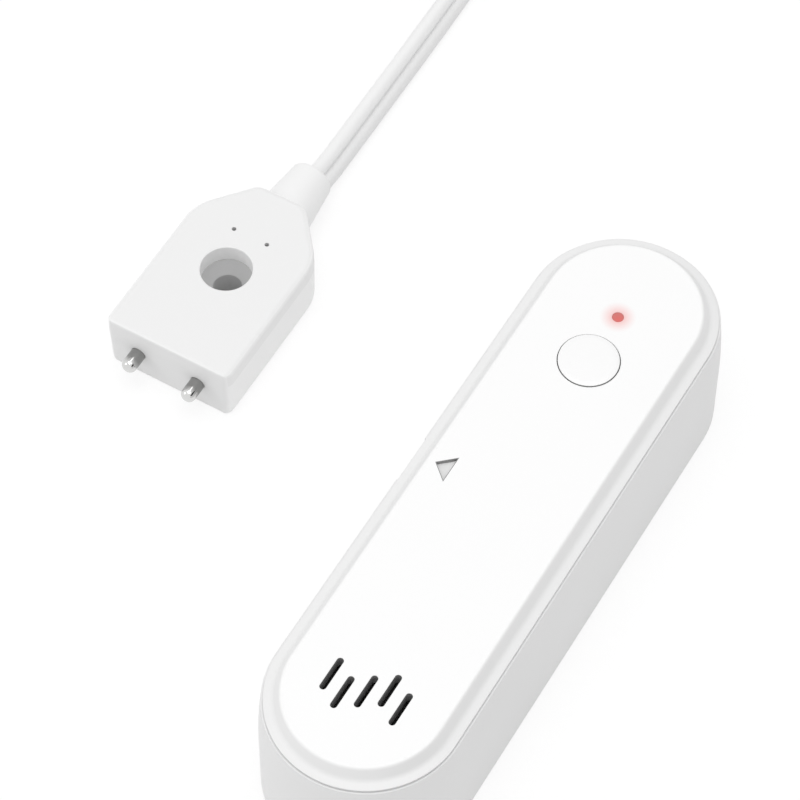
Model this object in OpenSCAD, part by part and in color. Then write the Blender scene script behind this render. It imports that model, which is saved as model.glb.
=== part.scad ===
// Water leak sensor: a pill-shaped alarm unit and its wired floor probe.
// Millimetres, +Z up. The origin is the centre of the unit's underside.
// +X runs along the unit to its button end, +Y points to the probe.

/* [Unit shell] */
// Half the distance between the centres of the unit's round ends
end_centre = 36.4; // [33:0.2:42]
// Outer radius of the housing at its foot
foot_r = 14.95; // [14.6:0.05:17]
// Height of the unit from its foot to its top face
unit_h = 23.3; // [22.5:0.1:28]
// Outer radius of the housing at its rim
rim_r = 14.3; // [14:0.05:14.6]
// Height up to which the housing wall stands almost straight
belly_z = 10.6; // [6:0.2:15]
// Draft of the straight stretch of the housing wall
wall_draft = 0.08; // [0:0.02:0.3]
// Wall thickness of the housing beside the cover's lip
rim_wall = 1.4; // [1.1:0.1:1.6]
// Width of the ledge that carries the seal
ledge_w = 0.7; // [0.4:0.1:1]
// Thickness of the housing floor
floor_t = 1.8; // [1.5:0.1:2.2]

/* [Top cover] */
// Outer radius of the cover at the seam
cover_edge_r = 14; // [13.8:0.05:14.2]
// Radius of the flat top face at the round ends
top_r = 11.55; // [11:0.05:12]
// Height of the cover above the seam
cover_h = 2.1; // [1.8:0.1:2.6]
// Thickness of the cover's outer edge
cover_edge_t = 0.25; // [0.15:0.05:0.4]
// Open seam between the cover and the housing
seam_gap = 0.2; // [0.1:0.05:0.4]
// Depth of the cover's locating lip
lip_h = 2.4; // [1.5:0.1:3]
// Thickness of the cover's locating lip
lip_t = 1.2; // [0.8:0.1:1.5]
// Clearance between the lip and the housing
lip_gap = 0.15; // [0.1:0.05:0.3]
// Height of the rubber seal under the lip
seal_h = 1; // [0.6:0.1:1.4]
// Length of the pry notch in the housing rim
notch_l = 8; // [5:0.5:14]

/* [Button and light] */
// Place of the button along the unit
button_x = 26; // [25:0.1:27]
// Radius of the button
button_r = 4.4; // [3.5:0.1:5]
// Clearance round the button
button_gap = 0.2; // [0.1:0.01:0.25]
// How far the button stands above the top face
button_proud = 0.25; // [0.1:0.05:0.5]
// Travel of the button
button_travel = 0.4; // [0.2:0.05:0.5]
// Thickness of the button's retaining flange
button_flange_t = 0.6; // [0.4:0.1:0.7]
// Place of the status light along the unit
light_x = 34.8; // [34.4:0.1:36]
// Radius of the light pipe
light_r = 0.85; // [0.6:0.05:1.2]

/* [Sounder grille and mark] */
// Length of a grille slot from end to end
slot_l = 5.5; // [4:0.1:7]
// Width of a grille slot
slot_w = 1; // [0.6:0.1:1.4]
// Distance between neighbouring grille slots
slot_pitch = 2.7; // [2.2:0.1:3]
// How far the second and fourth slots are shifted lengthwise
slot_shift = 1.7; // [0:0.1:2.4]
// Length of the pointer mark's base
mark_base = 4.2; // [2:0.1:6]
// Height of the pointer mark from its base to its tip
mark_h = 2.35; // [1.5:0.05:2.8]
// Distance of the pointer mark's base from the centre line
mark_y = 7.85; // [6:0.05:8]
// Depth of the pointer mark
mark_depth = 0.6; // [0.2:0.05:0.8]
// Radius of the piezo sounder
sounder_r = 8.5; // [7.5:0.1:9]
// Height of the piezo sounder
sounder_h = 5; // [3.5:0.1:6]

/* [Batteries] */
// Diameter of an AAA cell
cell_d = 10.5; // [10:0.1:10.6]
// Length of an AAA cell with its nub
cell_l = 44.5; // [43:0.1:44.6]
// Distance between the two cells
cell_gap = 0.7; // [0.4:0.1:1]
// Length of a pressed contact spring
spring_l = 3.2; // [2.9:0.1:3.6]
// Wire diameter of a contact spring
spring_wire = 0.6; // [0.4:0.05:0.7]
// Thickness of a contact plate
contact_t = 0.4; // [0.3:0.05:0.6]
// Thickness of the walls at the ends of the battery bay
bay_wall = 1.2; // [1:0.1:1.5]

/* [Circuit board] */
// Distance from the seam down to the board's underside
board_drop = 7.6; // [7.2:0.1:7.8]
// Thickness of the board
board_t = 1.6; // [1:0.1:1.7]
// Clearance between the board and the housing
board_gap = 0.6; // [0.4:0.1:1]
// Side of the square push switch
switch_w = 6; // [5.5:0.1:6.2]
// Height of the push switch without its plunger
switch_h = 3.4; // [3:0.1:3.6]
// Radius of the push switch's plunger
plunger_r = 1.7; // [1.2:0.1:2]
// Bore of the probe socket in the unit's far end
jack_d = 3.6; // [3.5:0.02:3.7]
// Length of the probe socket's body
socket_l = 12; // [10:0.1:12.6]

/* [Probe] */
// Place of the probe's front face
probe_x = 4.2; // [0:0.1:8]
// Distance of the probe's middle line from the unit's
probe_y = 58.75; // [50:0.05:70]
// Width of the probe
probe_w = 21.7; // [20:0.1:26]
// Height of the probe
probe_h = 10.5; // [9.5:0.1:12]
// Length of the probe's parallel sides
probe_straight = 25.1; // [23:0.1:30]
// Length of the probe from its front to its neck
probe_l = 33.1; // [31:0.1:40]
// Width of the probe's neck
neck_w = 8.4; // [7:0.1:10]
// Rounding of the probe's long bottom edges
probe_edge_r = 1.2; // [0.8:0.1:3]
// Rounding of the probe's top edges
probe_top_r = 0.9; // [0.5:0.1:2]
// Rounding of the edges round the probe's front
probe_front_r = 0.5; // [0.3:0.1:1]
// Distance of the probe's parting line from its top
parting_drop = 2.8; // [2:0.1:5]
// Draft of the probe's sides above and below that line, in degrees
probe_draft = 1; // [0.5:0.5:3]
// Distance of the screw hole from the probe's front
screw_x = 16.9; // [14:0.1:19]
// Diameter of the screw hole
screw_d = 4.5; // [3.5:0.1:5]
// Diameter of the recess for the screw head
head_d = 8; // [7:0.1:9]
// Depth of the straight part of that recess
head_depth = 3; // [1.5:0.1:3.5]
// Diameter of a probe pin
pin_d = 2.4; // [2:0.1:2.8]
// How far a probe pin stands out
pin_out = 3.4; // [2:0.1:5]
// Distance between the two probe pins
pin_pitch = 10.45; // [8:0.05:13]
// Diameter of the small mould holes in the probe's top
vent_d = 0.7; // [0.5:0.05:1]
// Length of the strain relief
boot_l = 8.6; // [6:0.1:12]
// Radius of the strain relief at the neck
boot_r = 4.35; // [4:0.05:4.8]
// Radius of the strain relief at the lead
boot_end_r = 3.4; // [2.6:0.05:3.8]

/* [Lead] */
// Width of the flat two-core lead
cord_w = 4.8; // [4.4:0.1:5]
// Thickness of the lead
cord_t = 2.4; // [2:0.1:2.5]
// Radius of the put-away coil at the outside of its loops
coil_r = 27.5; // [26:0.5:30]
// Sideways distance between neighbouring loops
coil_pitch = 3.4; // [3.3:0.05:3.8]
// Number of loops in the coil
coil_loops = 6.5; // [3.5:1:7.5]
// Diameter of the jack plug's shaft
plug_d = 3.5; // [3.4:0.02:3.5]
// Radius of the plug's grip
grip_r = 3.5; // [3.2:0.1:4]
// Length of the plug's grip
grip_l = 14; // [10:0.5:18]

/* [Hidden] */
$fn = 64;

// A little extra, so that cuts pass through and joined solids overlap
over = 0.5;
// Clearance of a fixed piece in its seat
seat_gap = 0.02;
// Clearance between pieces that lie on each other
rest_gap = 0.05;

// Levels and radii of the shell
seam_z = unit_h - cover_h;
rim_z = seam_z - seam_gap;
guide_r = rim_r - rim_wall;
cavity_r = guide_r - ledge_w;
lip_r = guide_r - lip_gap;
seal_top = seam_z - lip_h - rest_gap;
ledge_z = seal_top - seal_h;
pad_t = 1;
pad_l = 84;
pad_w = 20;
pad_margin = 0.3;
notch_in = 0.7;
notch_h = 0.8;

// The cove that leads from the top face down to the cover's edge
cove_run = 1.15;
cove_rise = 0.25;

// Button, switch and light
button_hole_r = button_r + button_gap;
button_flange_r = button_hole_r + 0.9;
button_crown = 0.1;
board_z = seam_z - board_drop;
board_top = board_z + board_t;
switch_top = board_top + switch_h;
plunger_h = 1;
plunger_in = 0.7;
plunger_top = switch_top + plunger_h;
light_flange_r = light_r + 0.8;
light_flange_t = 0.6;
led_h = 1.2;

// Sounder
mesh_t = 0.3;
mesh_r = 2 * slot_pitch + slot_l / 2;
foam_t = 0.6;
foam_w = 1.2;
sounder_x = -end_centre;
sounder_top = seam_z - mesh_t - foam_t - 2 * rest_gap;
sounder_z = sounder_top - sounder_h;
pillar_wall = 1.4;
sound_hole_r = 1.5;
case_t = 1;
disc_t = 0.3;
ceramic_t = 0.25;

// Battery bay
cell_r = cell_d / 2;
cell_y = cell_r + cell_gap / 2;
cell_lift = 0.5;
cell_z = floor_t + cell_lift + cell_r;
nub_l = 1;
nub_r = 1.9;
bay_l = cell_l + spring_l + 2 * contact_t;
board_start = button_x - switch_w / 2 - 0.4;
bay_end = board_start - bay_wall - 0.8;
bay_start = bay_end - bay_l;
bay_top = cell_z + cell_r;
saddle_w = 1.6;
plate_w = cell_d - 1.5;
plate_h = cell_d - 1;
spring_turns = 2;
spring_r = 2.8;
spring_tip_r = 1.6;

// Board supports
board_r = cavity_r - board_gap;
boss_x = board_start + 2.6;
boss_y = board_r - 2.6;
boss_r = 2.3;
screw_shaft_r = 0.9;
screw_head_r = 1.7;
screw_head_h = 1.2;
screw_l = 6;
boss_floor = 2;
post_x = end_centre + 5;
post_y = 7;

// Shielding can of the radio
shield_gap = 2;
shield_l = 9;
shield_w = 10;
shield_h = 2.2;

// Probe socket under the board, its nose in the end wall
socket_w = 6;
socket_h = 5.2;
socket_back_t = 0.8;
nose_r = socket_h / 2;
nose_gap = 0.15;
nose_in = 0.3;
jack_z = board_z - socket_h / 2;
socket_front = end_centre + sqrt(pow(cavity_r, 2) - pow(socket_w / 2, 2)) - nose_gap;
nose_x = end_centre + wall_r(jack_z) - nose_in;
jack_bottom = socket_front - socket_l + socket_back_t;
blade_t = 0.3;
blade_l = 6;

// Probe
probe_mid_z = probe_h / 2;
parting_z = probe_h - parting_drop;
lean_top = parting_drop * tan(probe_draft);
lean_bottom = parting_z * tan(probe_draft);
shoulder_r = 10;
neck_r = 4.5;
pin_in = 7;
pin_dome = 1;
vent_x = probe_straight - 1.3;
vent_pitch = 5.85;
vent_depth = 2.5;
boot_z = 4.9;
boot_x = probe_x + probe_l;
cord_start = boot_x + boot_l;
cord_drop = 1.2;
cord_side = 0.4;
cord_roll = 52;

// The put-away coil
coil_x = 115;
coil_y = 59 + coil_r;
coil_lift = 1;
coil_z = coil_lift + cord_w / 2;
coil_step = cord_w + 0.9;
loop_rings = 24;
climb = 0.5;
tail_l = 14;
tail_rings = 8;
tie_w = 5;
tie_t = 0.5;
tie_gap = 0.4;

// The lead's free stretch: x, y, z of its middle line and its roll in degrees
lead_route = [[cord_start, probe_y - cord_side, boot_z - cord_drop, cord_roll], [50, 58.38, 3.1, cord_roll],
    [55, 58.53, 2.7, cord_roll], [60, 58.65, 2.45, cord_roll], [66, 58.75, 2.3, cord_roll],
    [74, 58.84, 2.2, cord_roll], [82, 58.92, 2.18, cord_roll], [91, 59.05, 2.2, 54], [95, 59.1, 2.3, 58],
    [100, 59.1, 2.6, 68], [105, 59.05, 3, 80], [109, 59, 3.35, 88], [113, 59, coil_z, 90]];

// Plug
plug_z = grip_r + 0.1;
plug_x = coil_x - tail_l - cord_w;
plug_y = coil_y + coil_r;
relief_l = 5;
relief_r = 2.7;
collar_l = 1.2;
collar_r = 2.8;
sleeve_l = 8.8;
insulator_l = 0.8;
tip_l = 4.4;

// Unit vector along v
function unit(v) = v / norm(v);

// Points of the arc that rounds the corner p between its neighbours a and b
function corner_arc(a, p, b, r, n) = r == 0 ? [p] :
    let (u = unit(a - p), v = unit(b - p), half = acos(u * v) / 2,
        c = p + unit(u + v) * r / sin(half),
        s = p + u * r / tan(half) - c, e = p + v * r / tan(half) - c,
        start = atan2(s[1], s[0]), turn = atan2(e[1], e[0]) - start,
        sweep = turn > 180 ? turn - 360 : turn < -180 ? turn + 360 : turn)
    [for (i = [0 : n]) c + r * [cos(start + sweep * i / n), sin(start + sweep * i / n)]];

// An outline with each corner rounded by its own radius
function rounded(points, radii, n = 6) =
    [for (i = [0 : len(points) - 1]) each corner_arc(points[(i + len(points) - 1) % len(points)],
        points[i], points[(i + 1) % len(points)], radii[i], n)];

// Outer radius of the housing at height z
function wall_r(z) = z < belly_z ? foot_r - wall_draft * z / belly_z :
    foot_r - wall_draft - (foot_r - wall_draft - rim_r) * pow((z - belly_z) / (rim_z - belly_z), 2);

// Smooth step from 0 to 1
function ease(t) = let (c = min(max(t, 0), 1)) c * c * (3 - 2 * c);

// Frame of a swept section: its width and thickness directions
function width_way(along, roll) = let (side = unit(cross([0, 0, 1], along)), up = cross(along, side))
    side * cos(roll) + up * sin(roll);
function thick_way(along, roll) = cross(along, width_way(along, roll));

// Direction of a path at its point i
function heading(path, i) = unit(path[min(i + 1, len(path) - 1)] - path[max(i - 1, 0)]);

// Points of a section carried along a path, one ring for each point
function sweep_points(path, rolls, ways, section) =
    [for (i = [0 : len(path) - 1], s = section)
        path[i] + width_way(ways[i], rolls[i]) * s[0] + thick_way(ways[i], rolls[i]) * s[1]];

// Triangles of a swept tube of m rings with n points each, closed by a fan at both ends
function sweep_faces(m, n) = concat(
    [for (i = [0 : m - 2], j = [0 : n - 1]) [i * n + j, (i + 1) * n + j, i * n + (j + 1) % n]],
    [for (i = [0 : m - 2], j = [0 : n - 1]) [(i + 1) * n + j, (i + 1) * n + (j + 1) % n, i * n + (j + 1) % n]],
    [for (j = [0 : n - 1]) [m * n, j, (j + 1) % n]],
    [for (j = [0 : n - 1]) [m * n + 1, (m - 1) * n + (j + 1) % n, (m - 1) * n + j]]);

// Sections of the lead: the two-lobed one, and the plainer one of the coil
core_r = cord_t / 2;
core_y = cord_w / 2 - core_r;
web_t = cord_t * 0.45;
lobe_angles = [-110, -55, 0, 55, 110];
lead_section = concat(
    [for (a = lobe_angles) [core_y + core_r * cos(a), core_r * sin(a)]], [[0, web_t / 2]],
    [for (a = lobe_angles) [-core_y - core_r * cos(a), -core_r * sin(a)]], [[0, -web_t / 2]]);
coil_section = [for (a = [0 : 60 : 300]) [(abs(cos(a)) < 0.9 ? 0.62 : 1) * sign(cos(a)) * cord_w / 2,
    cord_t / 2 * sin(a) / sin(60)]];

// Middle line of the coil: in along the lower layer, up in half a loop, out along the upper one
function loop_r(t) = coil_r - coil_pitch * min(t, coil_loops - t);
function loop_z(t) = coil_z + coil_step * ease((t - coil_loops / 2) / climb + 0.5);
function loop_point(t) = [coil_x + loop_r(t) * sin(360 * t), coil_y - loop_r(t) * cos(360 * t), loop_z(t)];
function tail_point(t) = [coil_x - tail_l * t, plug_y,
    coil_z + coil_step + (plug_z - coil_z - coil_step) * ease(t)];
coil_path = concat(
    [[lead_route[len(lead_route) - 1][0], coil_y - coil_r, coil_z]],
    [for (i = [0 : loop_rings * coil_loops]) loop_point(i / loop_rings)],
    [for (i = [1 : tail_rings]) tail_point(i / tail_rings)],
    [[plug_x, plug_y, plug_z]]);
coil_ways = [for (i = [0 : len(coil_path) - 1]) i == 0 ? [1, 0, 0] :
    i == len(coil_path) - 1 ? [-1, 0, 0] : heading(coil_path, i)];
coil_rolls = [for (p = coil_path) 90];
coil_points = sweep_points(coil_path, coil_rolls, coil_ways, coil_section);

// Least distance between points of the coil that lie at least half a loop apart
coil_side = len(coil_section);
coil_gap = min([for (i = [0 : len(coil_path) - 1], j = [i + loop_rings / 2 : len(coil_path) - 1])
    if (norm(coil_path[i] - coil_path[j]) < 2 * cord_w)
        min([for (a = [0 : coil_side - 1], b = [0 : coil_side - 1])
            norm(coil_points[i * coil_side + a] - coil_points[j * coil_side + b])])]);
echo(coil_gap = coil_gap);

// Length of a path
function path_length(path) = let (steps = [for (i = [1 : len(path) - 1]) norm(path[i] - path[i - 1])])
    steps * [for (s = steps) 1];
lead_path = [for (p = lead_route) [p[0], p[1], p[2]]];
echo(lead_length = path_length(lead_path) + path_length(coil_path));

// Flat stadium of end radius r
module stadium(r) {
    translate([-end_centre, -r]) square([2 * end_centre, 2 * r]);
    for (s = [-1, 1]) translate([s * end_centre, 0]) circle(r);
}

// Stadium slab of end radius r between two heights
module stadium_slab(r, low, high) {
    translate([0, 0, low]) linear_extrude(high - low) stadium(r);
}

// Solid stadium whose wall follows a half section in radius and height
module stadium_turned(section) {
    for (s = [-1, 1]) translate([s * end_centre, 0, 0]) rotate(s * -90) rotate_extrude(angle = 180)
        polygon(section);
    for (s = [0, 1]) mirror([0, s, 0]) rotate([90, 0, 90]) translate([0, 0, -end_centre])
        linear_extrude(2 * end_centre) polygon(section);
}

// Round bar along X at height z
module bar_x(z, r, low, high) {
    translate([low, 0, z]) rotate([0, 90, 0]) cylinder(r = r, h = high - low);
}

// Half section of the housing's outside
wall_steps = 8;
foot_round = 0.4;
housing_section = concat([[0, 0], [foot_r - foot_round, 0], [foot_r, foot_round], [wall_r(belly_z), belly_z]],
    [for (i = [1 : wall_steps]) let (z = belly_z + (rim_z - belly_z) * i / wall_steps) [wall_r(z), z]],
    [[0, rim_z]]);

// Walls, saddles, pillar and bosses that stand on the housing floor
module housing_inside() {
    low = floor_t - over;
    for (x = [bay_start - bay_wall, bay_end])
        translate([x, -cavity_r - over, low]) cube([bay_wall, 2 * (cavity_r + over), bay_top - low]);
    for (k = [0.2, 0.8]) difference() {
        translate([bay_start + bay_l * k, -2 * cell_y, low]) cube([saddle_w, 4 * cell_y, cell_z - 1 - low]);
        for (s = [-1, 1]) translate([bay_start, s * cell_y, cell_z]) rotate([0, 90, 0])
            cylinder(r = cell_r + rest_gap, h = bay_l);
    }
    translate([sounder_x, 0, low]) difference() {
        cylinder(r = sounder_r - 1, h = sounder_z - low);
        translate([0, 0, over]) cylinder(r = sounder_r - 1 - pillar_wall, h = sounder_z);
    }
    for (s = [-1, 1]) translate([boss_x, s * boss_y, low]) cylinder(r = boss_r, h = board_z - low);
    for (s = [-1, 1]) translate([post_x, s * post_y, low]) cylinder(r = boss_r, h = board_z - low);
}

module lower_housing() {
    color("white") difference() {
        union() {
            difference() {
                stadium_turned(housing_section);
                stadium_slab(cavity_r, floor_t, ledge_z + over);
                stadium_slab(guide_r, ledge_z, rim_z + over);
            }
            housing_inside();
        }
        translate([0, 0, -over]) linear_extrude(pad_t + over) pad_outline(pad_margin);
        for (s = [-1, 1]) translate([boss_x, s * boss_y, floor_t + boss_floor])
            cylinder(r = screw_shaft_r + seat_gap, h = board_z);
        bar_x(jack_z, nose_r + nose_gap, socket_front - over, end_centre + foot_r + over);
        translate([-notch_l / 2, wall_r(rim_z) - notch_in, rim_z - notch_h])
            cube([notch_l, notch_in + over, notch_h + over]);
    }
}

// Outline of the adhesive pad, grown by a margin
module pad_outline(margin) {
    r = pad_w / 2 + margin;
    c = pad_l / 2 - pad_w / 2;
    translate([-c, -r]) square([2 * c, 2 * r]);
    for (s = [-1, 1]) translate([s * c, 0]) circle(r);
}

module mounting_pad() {
    color("gainsboro") linear_extrude(pad_t) pad_outline(0);
}

// Half section of the cover: edge, cove and rounded rim of the top face
cover_section = rounded(
    [[0, seam_z], [cover_edge_r, seam_z], [cover_edge_r, seam_z + cover_edge_t],
        [top_r + cove_run, seam_z + cover_edge_t + cove_rise], [top_r, unit_h], [0, unit_h]],
    [0, 0, 0, 1.1, 0.5, 0]);

// One slot of the grille
module grille_slot(i) {
    shift = slot_shift * (i == 1 ? -1 : i == -1 ? 1 : 0);
    straight = slot_l - slot_w;
    translate([sounder_x + shift, i * slot_pitch, seam_z - over]) linear_extrude(cover_h + 2 * over) {
        translate([-straight / 2, -slot_w / 2]) square([straight, slot_w]);
        for (s = [-1, 1]) translate([s * straight / 2, 0]) circle(slot_w / 2);
    }
}

module top_cover() {
    color("white") difference() {
        union() {
            stadium_turned(cover_section);
            difference() {
                stadium_slab(lip_r, seam_z - lip_h, seam_z + over);
                stadium_slab(lip_r - lip_t, seam_z - lip_h - over, seam_z);
            }
        }
        for (i = [-2 : 2]) grille_slot(i);
        translate([button_x, 0, seam_z - over]) cylinder(r = button_hole_r, h = cover_h + 2 * over);
        translate([light_x, 0, seam_z - over]) cylinder(r = light_r + seat_gap, h = cover_h + 2 * over);
        translate([0, mark_y, unit_h - mark_depth]) linear_extrude(mark_depth + over)
            polygon([[-mark_base / 2, 0], [mark_base / 2, 0], [0, mark_h]]);
    }
}

module cover_seal() {
    color("dimgray") difference() {
        stadium_slab(guide_r - rest_gap, ledge_z, seal_top);
        stadium_slab(cavity_r, ledge_z - over, seal_top + over);
    }
}

module button_cap() {
    flange_top = seam_z - rest_gap;
    flange_low = flange_top - button_flange_t;
    top = unit_h + button_proud;
    color("white") translate([button_x, 0, 0]) rotate_extrude() polygon(rounded(
        [[0, plunger_top], [plunger_r, plunger_top], [plunger_r, flange_low], [button_flange_r, flange_low],
            [button_flange_r, flange_top], [button_r, flange_top], [button_r, top - button_crown], [0, top]],
        [0, 0, 0, 0, 0, 0, 0.35, 0]));
}

module light_pipe() {
    low = board_top + led_h + 0.3;
    color("tomato") translate([light_x, 0, 0]) rotate_extrude() polygon(
        [[0, low], [light_r, low], [light_r, seam_z - light_flange_t], [light_flange_r, seam_z - light_flange_t],
            [light_flange_r, seam_z], [light_r, seam_z], [light_r, unit_h - rest_gap], [0, unit_h - rest_gap]]);
}

module grille_mesh() {
    color("black") translate([sounder_x, 0, seam_z - mesh_t]) cylinder(r = mesh_r, h = mesh_t);
}

module sounder_foam() {
    color("darkslategray") translate([sounder_x, 0, sounder_top]) difference() {
        cylinder(r = sounder_r, h = foam_t);
        translate([0, 0, -over]) cylinder(r = sounder_r - foam_w, h = foam_t + 2 * over);
    }
}

module sounder_case() {
    color("black") translate([sounder_x, 0, sounder_z]) difference() {
        cylinder(r = sounder_r, h = sounder_h);
        translate([0, 0, case_t]) cylinder(r = sounder_r - case_t, h = sounder_h - 2 * case_t);
        translate([0, 0, case_t]) cylinder(r = sound_hole_r, h = sounder_h);
    }
}

module sounder_disc() {
    color("goldenrod") translate([sounder_x, 0, sounder_z + case_t]) {
        cylinder(r = sounder_r - case_t - seat_gap, h = disc_t);
        translate([0, 0, disc_t]) cylinder(r = sounder_r - 3 * case_t, h = ceramic_t);
    }
}

// An AAA cell along X, its nub towards +X
module cell(colour) {
    color(colour) rotate([0, 90, 0]) rotate_extrude() polygon(rounded(
        [[0, 0], [cell_r, 0], [cell_r, cell_l - nub_l], [nub_r, cell_l - nub_l], [nub_r, cell_l], [0, cell_l]],
        [0, 0.6, 0.6, 0, 0.3, 0]));
}

module battery_cell_left() {
    translate([bay_end - contact_t - cell_l, cell_y, cell_z]) cell("seagreen");
}

module battery_cell_right() {
    translate([bay_start + contact_t + cell_l, -cell_y, cell_z]) rotate(180) cell("seagreen");
}

// A conical contact spring along X from its plate to the cell, as one swept tube
spring_rings = 12;
spring_section = [for (a = [0 : 60 : 300]) spring_wire / 2 * [cos(a), sin(a)]];
spring_run = spring_l - spring_wire - 2 * rest_gap;
function spring_at(t) = let (r = spring_r + (spring_tip_r - spring_r) * t)
    [rest_gap + spring_wire / 2 + spring_run * t, r * cos(360 * spring_turns * t), r * sin(360 * spring_turns * t)];
spring_path = [for (i = [0 : spring_rings * spring_turns]) spring_at(i / (spring_rings * spring_turns))];
spring_ways = [for (i = [0 : len(spring_path) - 1]) heading(spring_path, i)];
spring_points = [for (i = [0 : len(spring_path) - 1], s = spring_section)
    let (in = unit([0, -spring_path[i][1], -spring_path[i][2]]), out = cross(spring_ways[i], in))
    spring_path[i] + unit(cross(out, spring_ways[i])) * s[0] + out * s[1]];
spring_gap = min([for (i = [0 : len(spring_path) - 1], j = [i + spring_rings / 2 : len(spring_path) - 1],
    a = [0 : 5], b = [0 : 5]) norm(spring_points[i * 6 + a] - spring_points[j * 6 + b])]);
echo(spring_gap = spring_gap);

module contact_spring() {
    last = len(spring_path) - 1;
    polyhedron(concat(spring_points, [spring_path[0], spring_path[last]]), sweep_faces(last + 1, 6));
}

module contact_springs() {
    color("silver") {
        translate([bay_start + contact_t, cell_y, cell_z]) contact_spring();
        translate([bay_end - contact_t, -cell_y, cell_z]) rotate(180) contact_spring();
    }
}

module contact_plates() {
    low = cell_z - plate_h / 2;
    color("silver") {
        translate([bay_start, -cell_y - plate_w / 2, low]) cube([contact_t, 2 * cell_y + plate_w, plate_h]);
        for (s = [-1, 1]) translate([bay_end - contact_t, s * cell_y - plate_w / 2, low])
            cube([contact_t, plate_w, plate_h]);
    }
}

module main_board() {
    color("darkgreen") translate([0, 0, board_z]) difference() {
        linear_extrude(board_t) intersection() {
            stadium(board_r);
            translate([board_start, -board_r]) square([end_centre + 2 * board_r, 2 * board_r]);
        }
        for (s = [-1, 1]) translate([boss_x, s * boss_y, -over])
            cylinder(r = screw_shaft_r + 0.2, h = board_t + 2 * over);
    }
}

module board_screws() {
    color("silver") for (s = [-1, 1]) translate([boss_x, s * boss_y, 0]) rotate_extrude() polygon(rounded(
        [[0, board_z - screw_l], [screw_shaft_r, board_z - screw_l], [screw_shaft_r, board_top],
            [screw_head_r, board_top], [screw_head_r, board_top + screw_head_h], [0, board_top + screw_head_h]],
        [0, 0.3, 0, 0, 0.6, 0]));
}

// Chips on the board: place from its straight edge and its middle, then length, width and height
chips = [[8, 6.4, 5, 5, 0.9], [8.2, -6, 3, 5, 1.1], [13, -7, 2, 1.3, 0.6], [13.4, 7.4, 3.2, 1.6, 0.8]];

module board_chips() {
    color("dimgray") for (c = chips) translate([board_start + c[0] - c[2] / 2, c[1] - c[3] / 2, board_top])
        cube([c[2], c[3], c[4]]);
}

module radio_shield() {
    color("silver") translate([light_x + shield_gap, -shield_w / 2, board_top]) linear_extrude(shield_h)
        polygon(rounded([[0, 0], [shield_l, 0], [shield_l, shield_w], [0, shield_w]], [0.6, 0.6, 0.6, 0.6]));
}

module switch_body() {
    color("dimgray") translate([button_x, 0, board_top]) difference() {
        translate([-switch_w / 2, -switch_w / 2, 0]) cube([switch_w, switch_w, switch_h]);
        translate([0, 0, switch_h - plunger_in - button_travel - rest_gap])
            cylinder(r = plunger_r + rest_gap, h = switch_h);
    }
}

module switch_plunger() {
    color("black") translate([button_x, 0, switch_top - plunger_in])
        cylinder(r = plunger_r, h = plunger_h + plunger_in - rest_gap);
}

module status_led() {
    color("mistyrose") translate([light_x, 0, board_top]) linear_extrude(led_h)
        polygon(rounded([[-1, -0.6], [1, -0.6], [1, 0.6], [-1, 0.6]], [0.2, 0.2, 0.2, 0.2]));
}

module jack_socket() {
    color("black") difference() {
        union() {
            translate([socket_front - socket_l, -socket_w / 2, jack_z - socket_h / 2])
                cube([socket_l, socket_w, socket_h]);
            bar_x(jack_z, nose_r, socket_front - over, nose_x);
        }
        bar_x(jack_z, jack_d / 2, jack_bottom, nose_x + over);
    }
}

module jack_contact() {
    color("gold") translate([socket_front - socket_l + 1, socket_w / 2, jack_z - 1])
        cube([blade_l, blade_t, socket_h / 2 + 1]);
}

// Section of the probe across its width, widest at the parting line
probe_cross = rounded([[-probe_w / 2 + lean_bottom, 0], [probe_w / 2 - lean_bottom, 0], [probe_w / 2, parting_z],
        [probe_w / 2 - lean_top, probe_h], [-probe_w / 2 + lean_top, probe_h], [-probe_w / 2, parting_z]],
    [probe_edge_r, probe_edge_r, 0, probe_top_r, probe_top_r, 0]);
// Outline of the probe seen from above, from its front to its neck
probe_plan = rounded([[0, -probe_w / 2], [probe_straight, -probe_w / 2], [probe_l, -neck_w / 2],
        [probe_l, neck_w / 2], [probe_straight, probe_w / 2], [0, probe_w / 2]],
    [0, shoulder_r, neck_r, neck_r, shoulder_r, 0]);
// Half plane with rounded top and bottom edges, which trims the front, the shoulders and the neck
function drafted_cross(low_r, high_r) = rounded([[-2 * probe_l, 0], [-lean_bottom, 0], [0, parting_z],
    [-lean_top, probe_h], [-2 * probe_l, probe_h]], [0, low_r, 0, high_r, 0]);
front_cross = drafted_cross(probe_front_r, probe_front_r);
shoulder_cross = drafted_cross(probe_edge_r, probe_top_r);
neck_cross = rounded([[-2 * probe_l, 0], [0, 0], [0, probe_h], [-2 * probe_l, probe_h]],
    [0, probe_edge_r, probe_top_r, 0]);
shoulder_turn = atan2((probe_w - neck_w) / 2, probe_l - probe_straight);

// Trims everything ahead of a point, facing a direction in plan
module probe_trim(x, y, turn, cross) {
    translate([x, y, 0]) rotate(turn) rotate([90, 0, 0]) translate([0, 0, -2 * probe_l])
        linear_extrude(4 * probe_l) polygon(cross);
}

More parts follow.
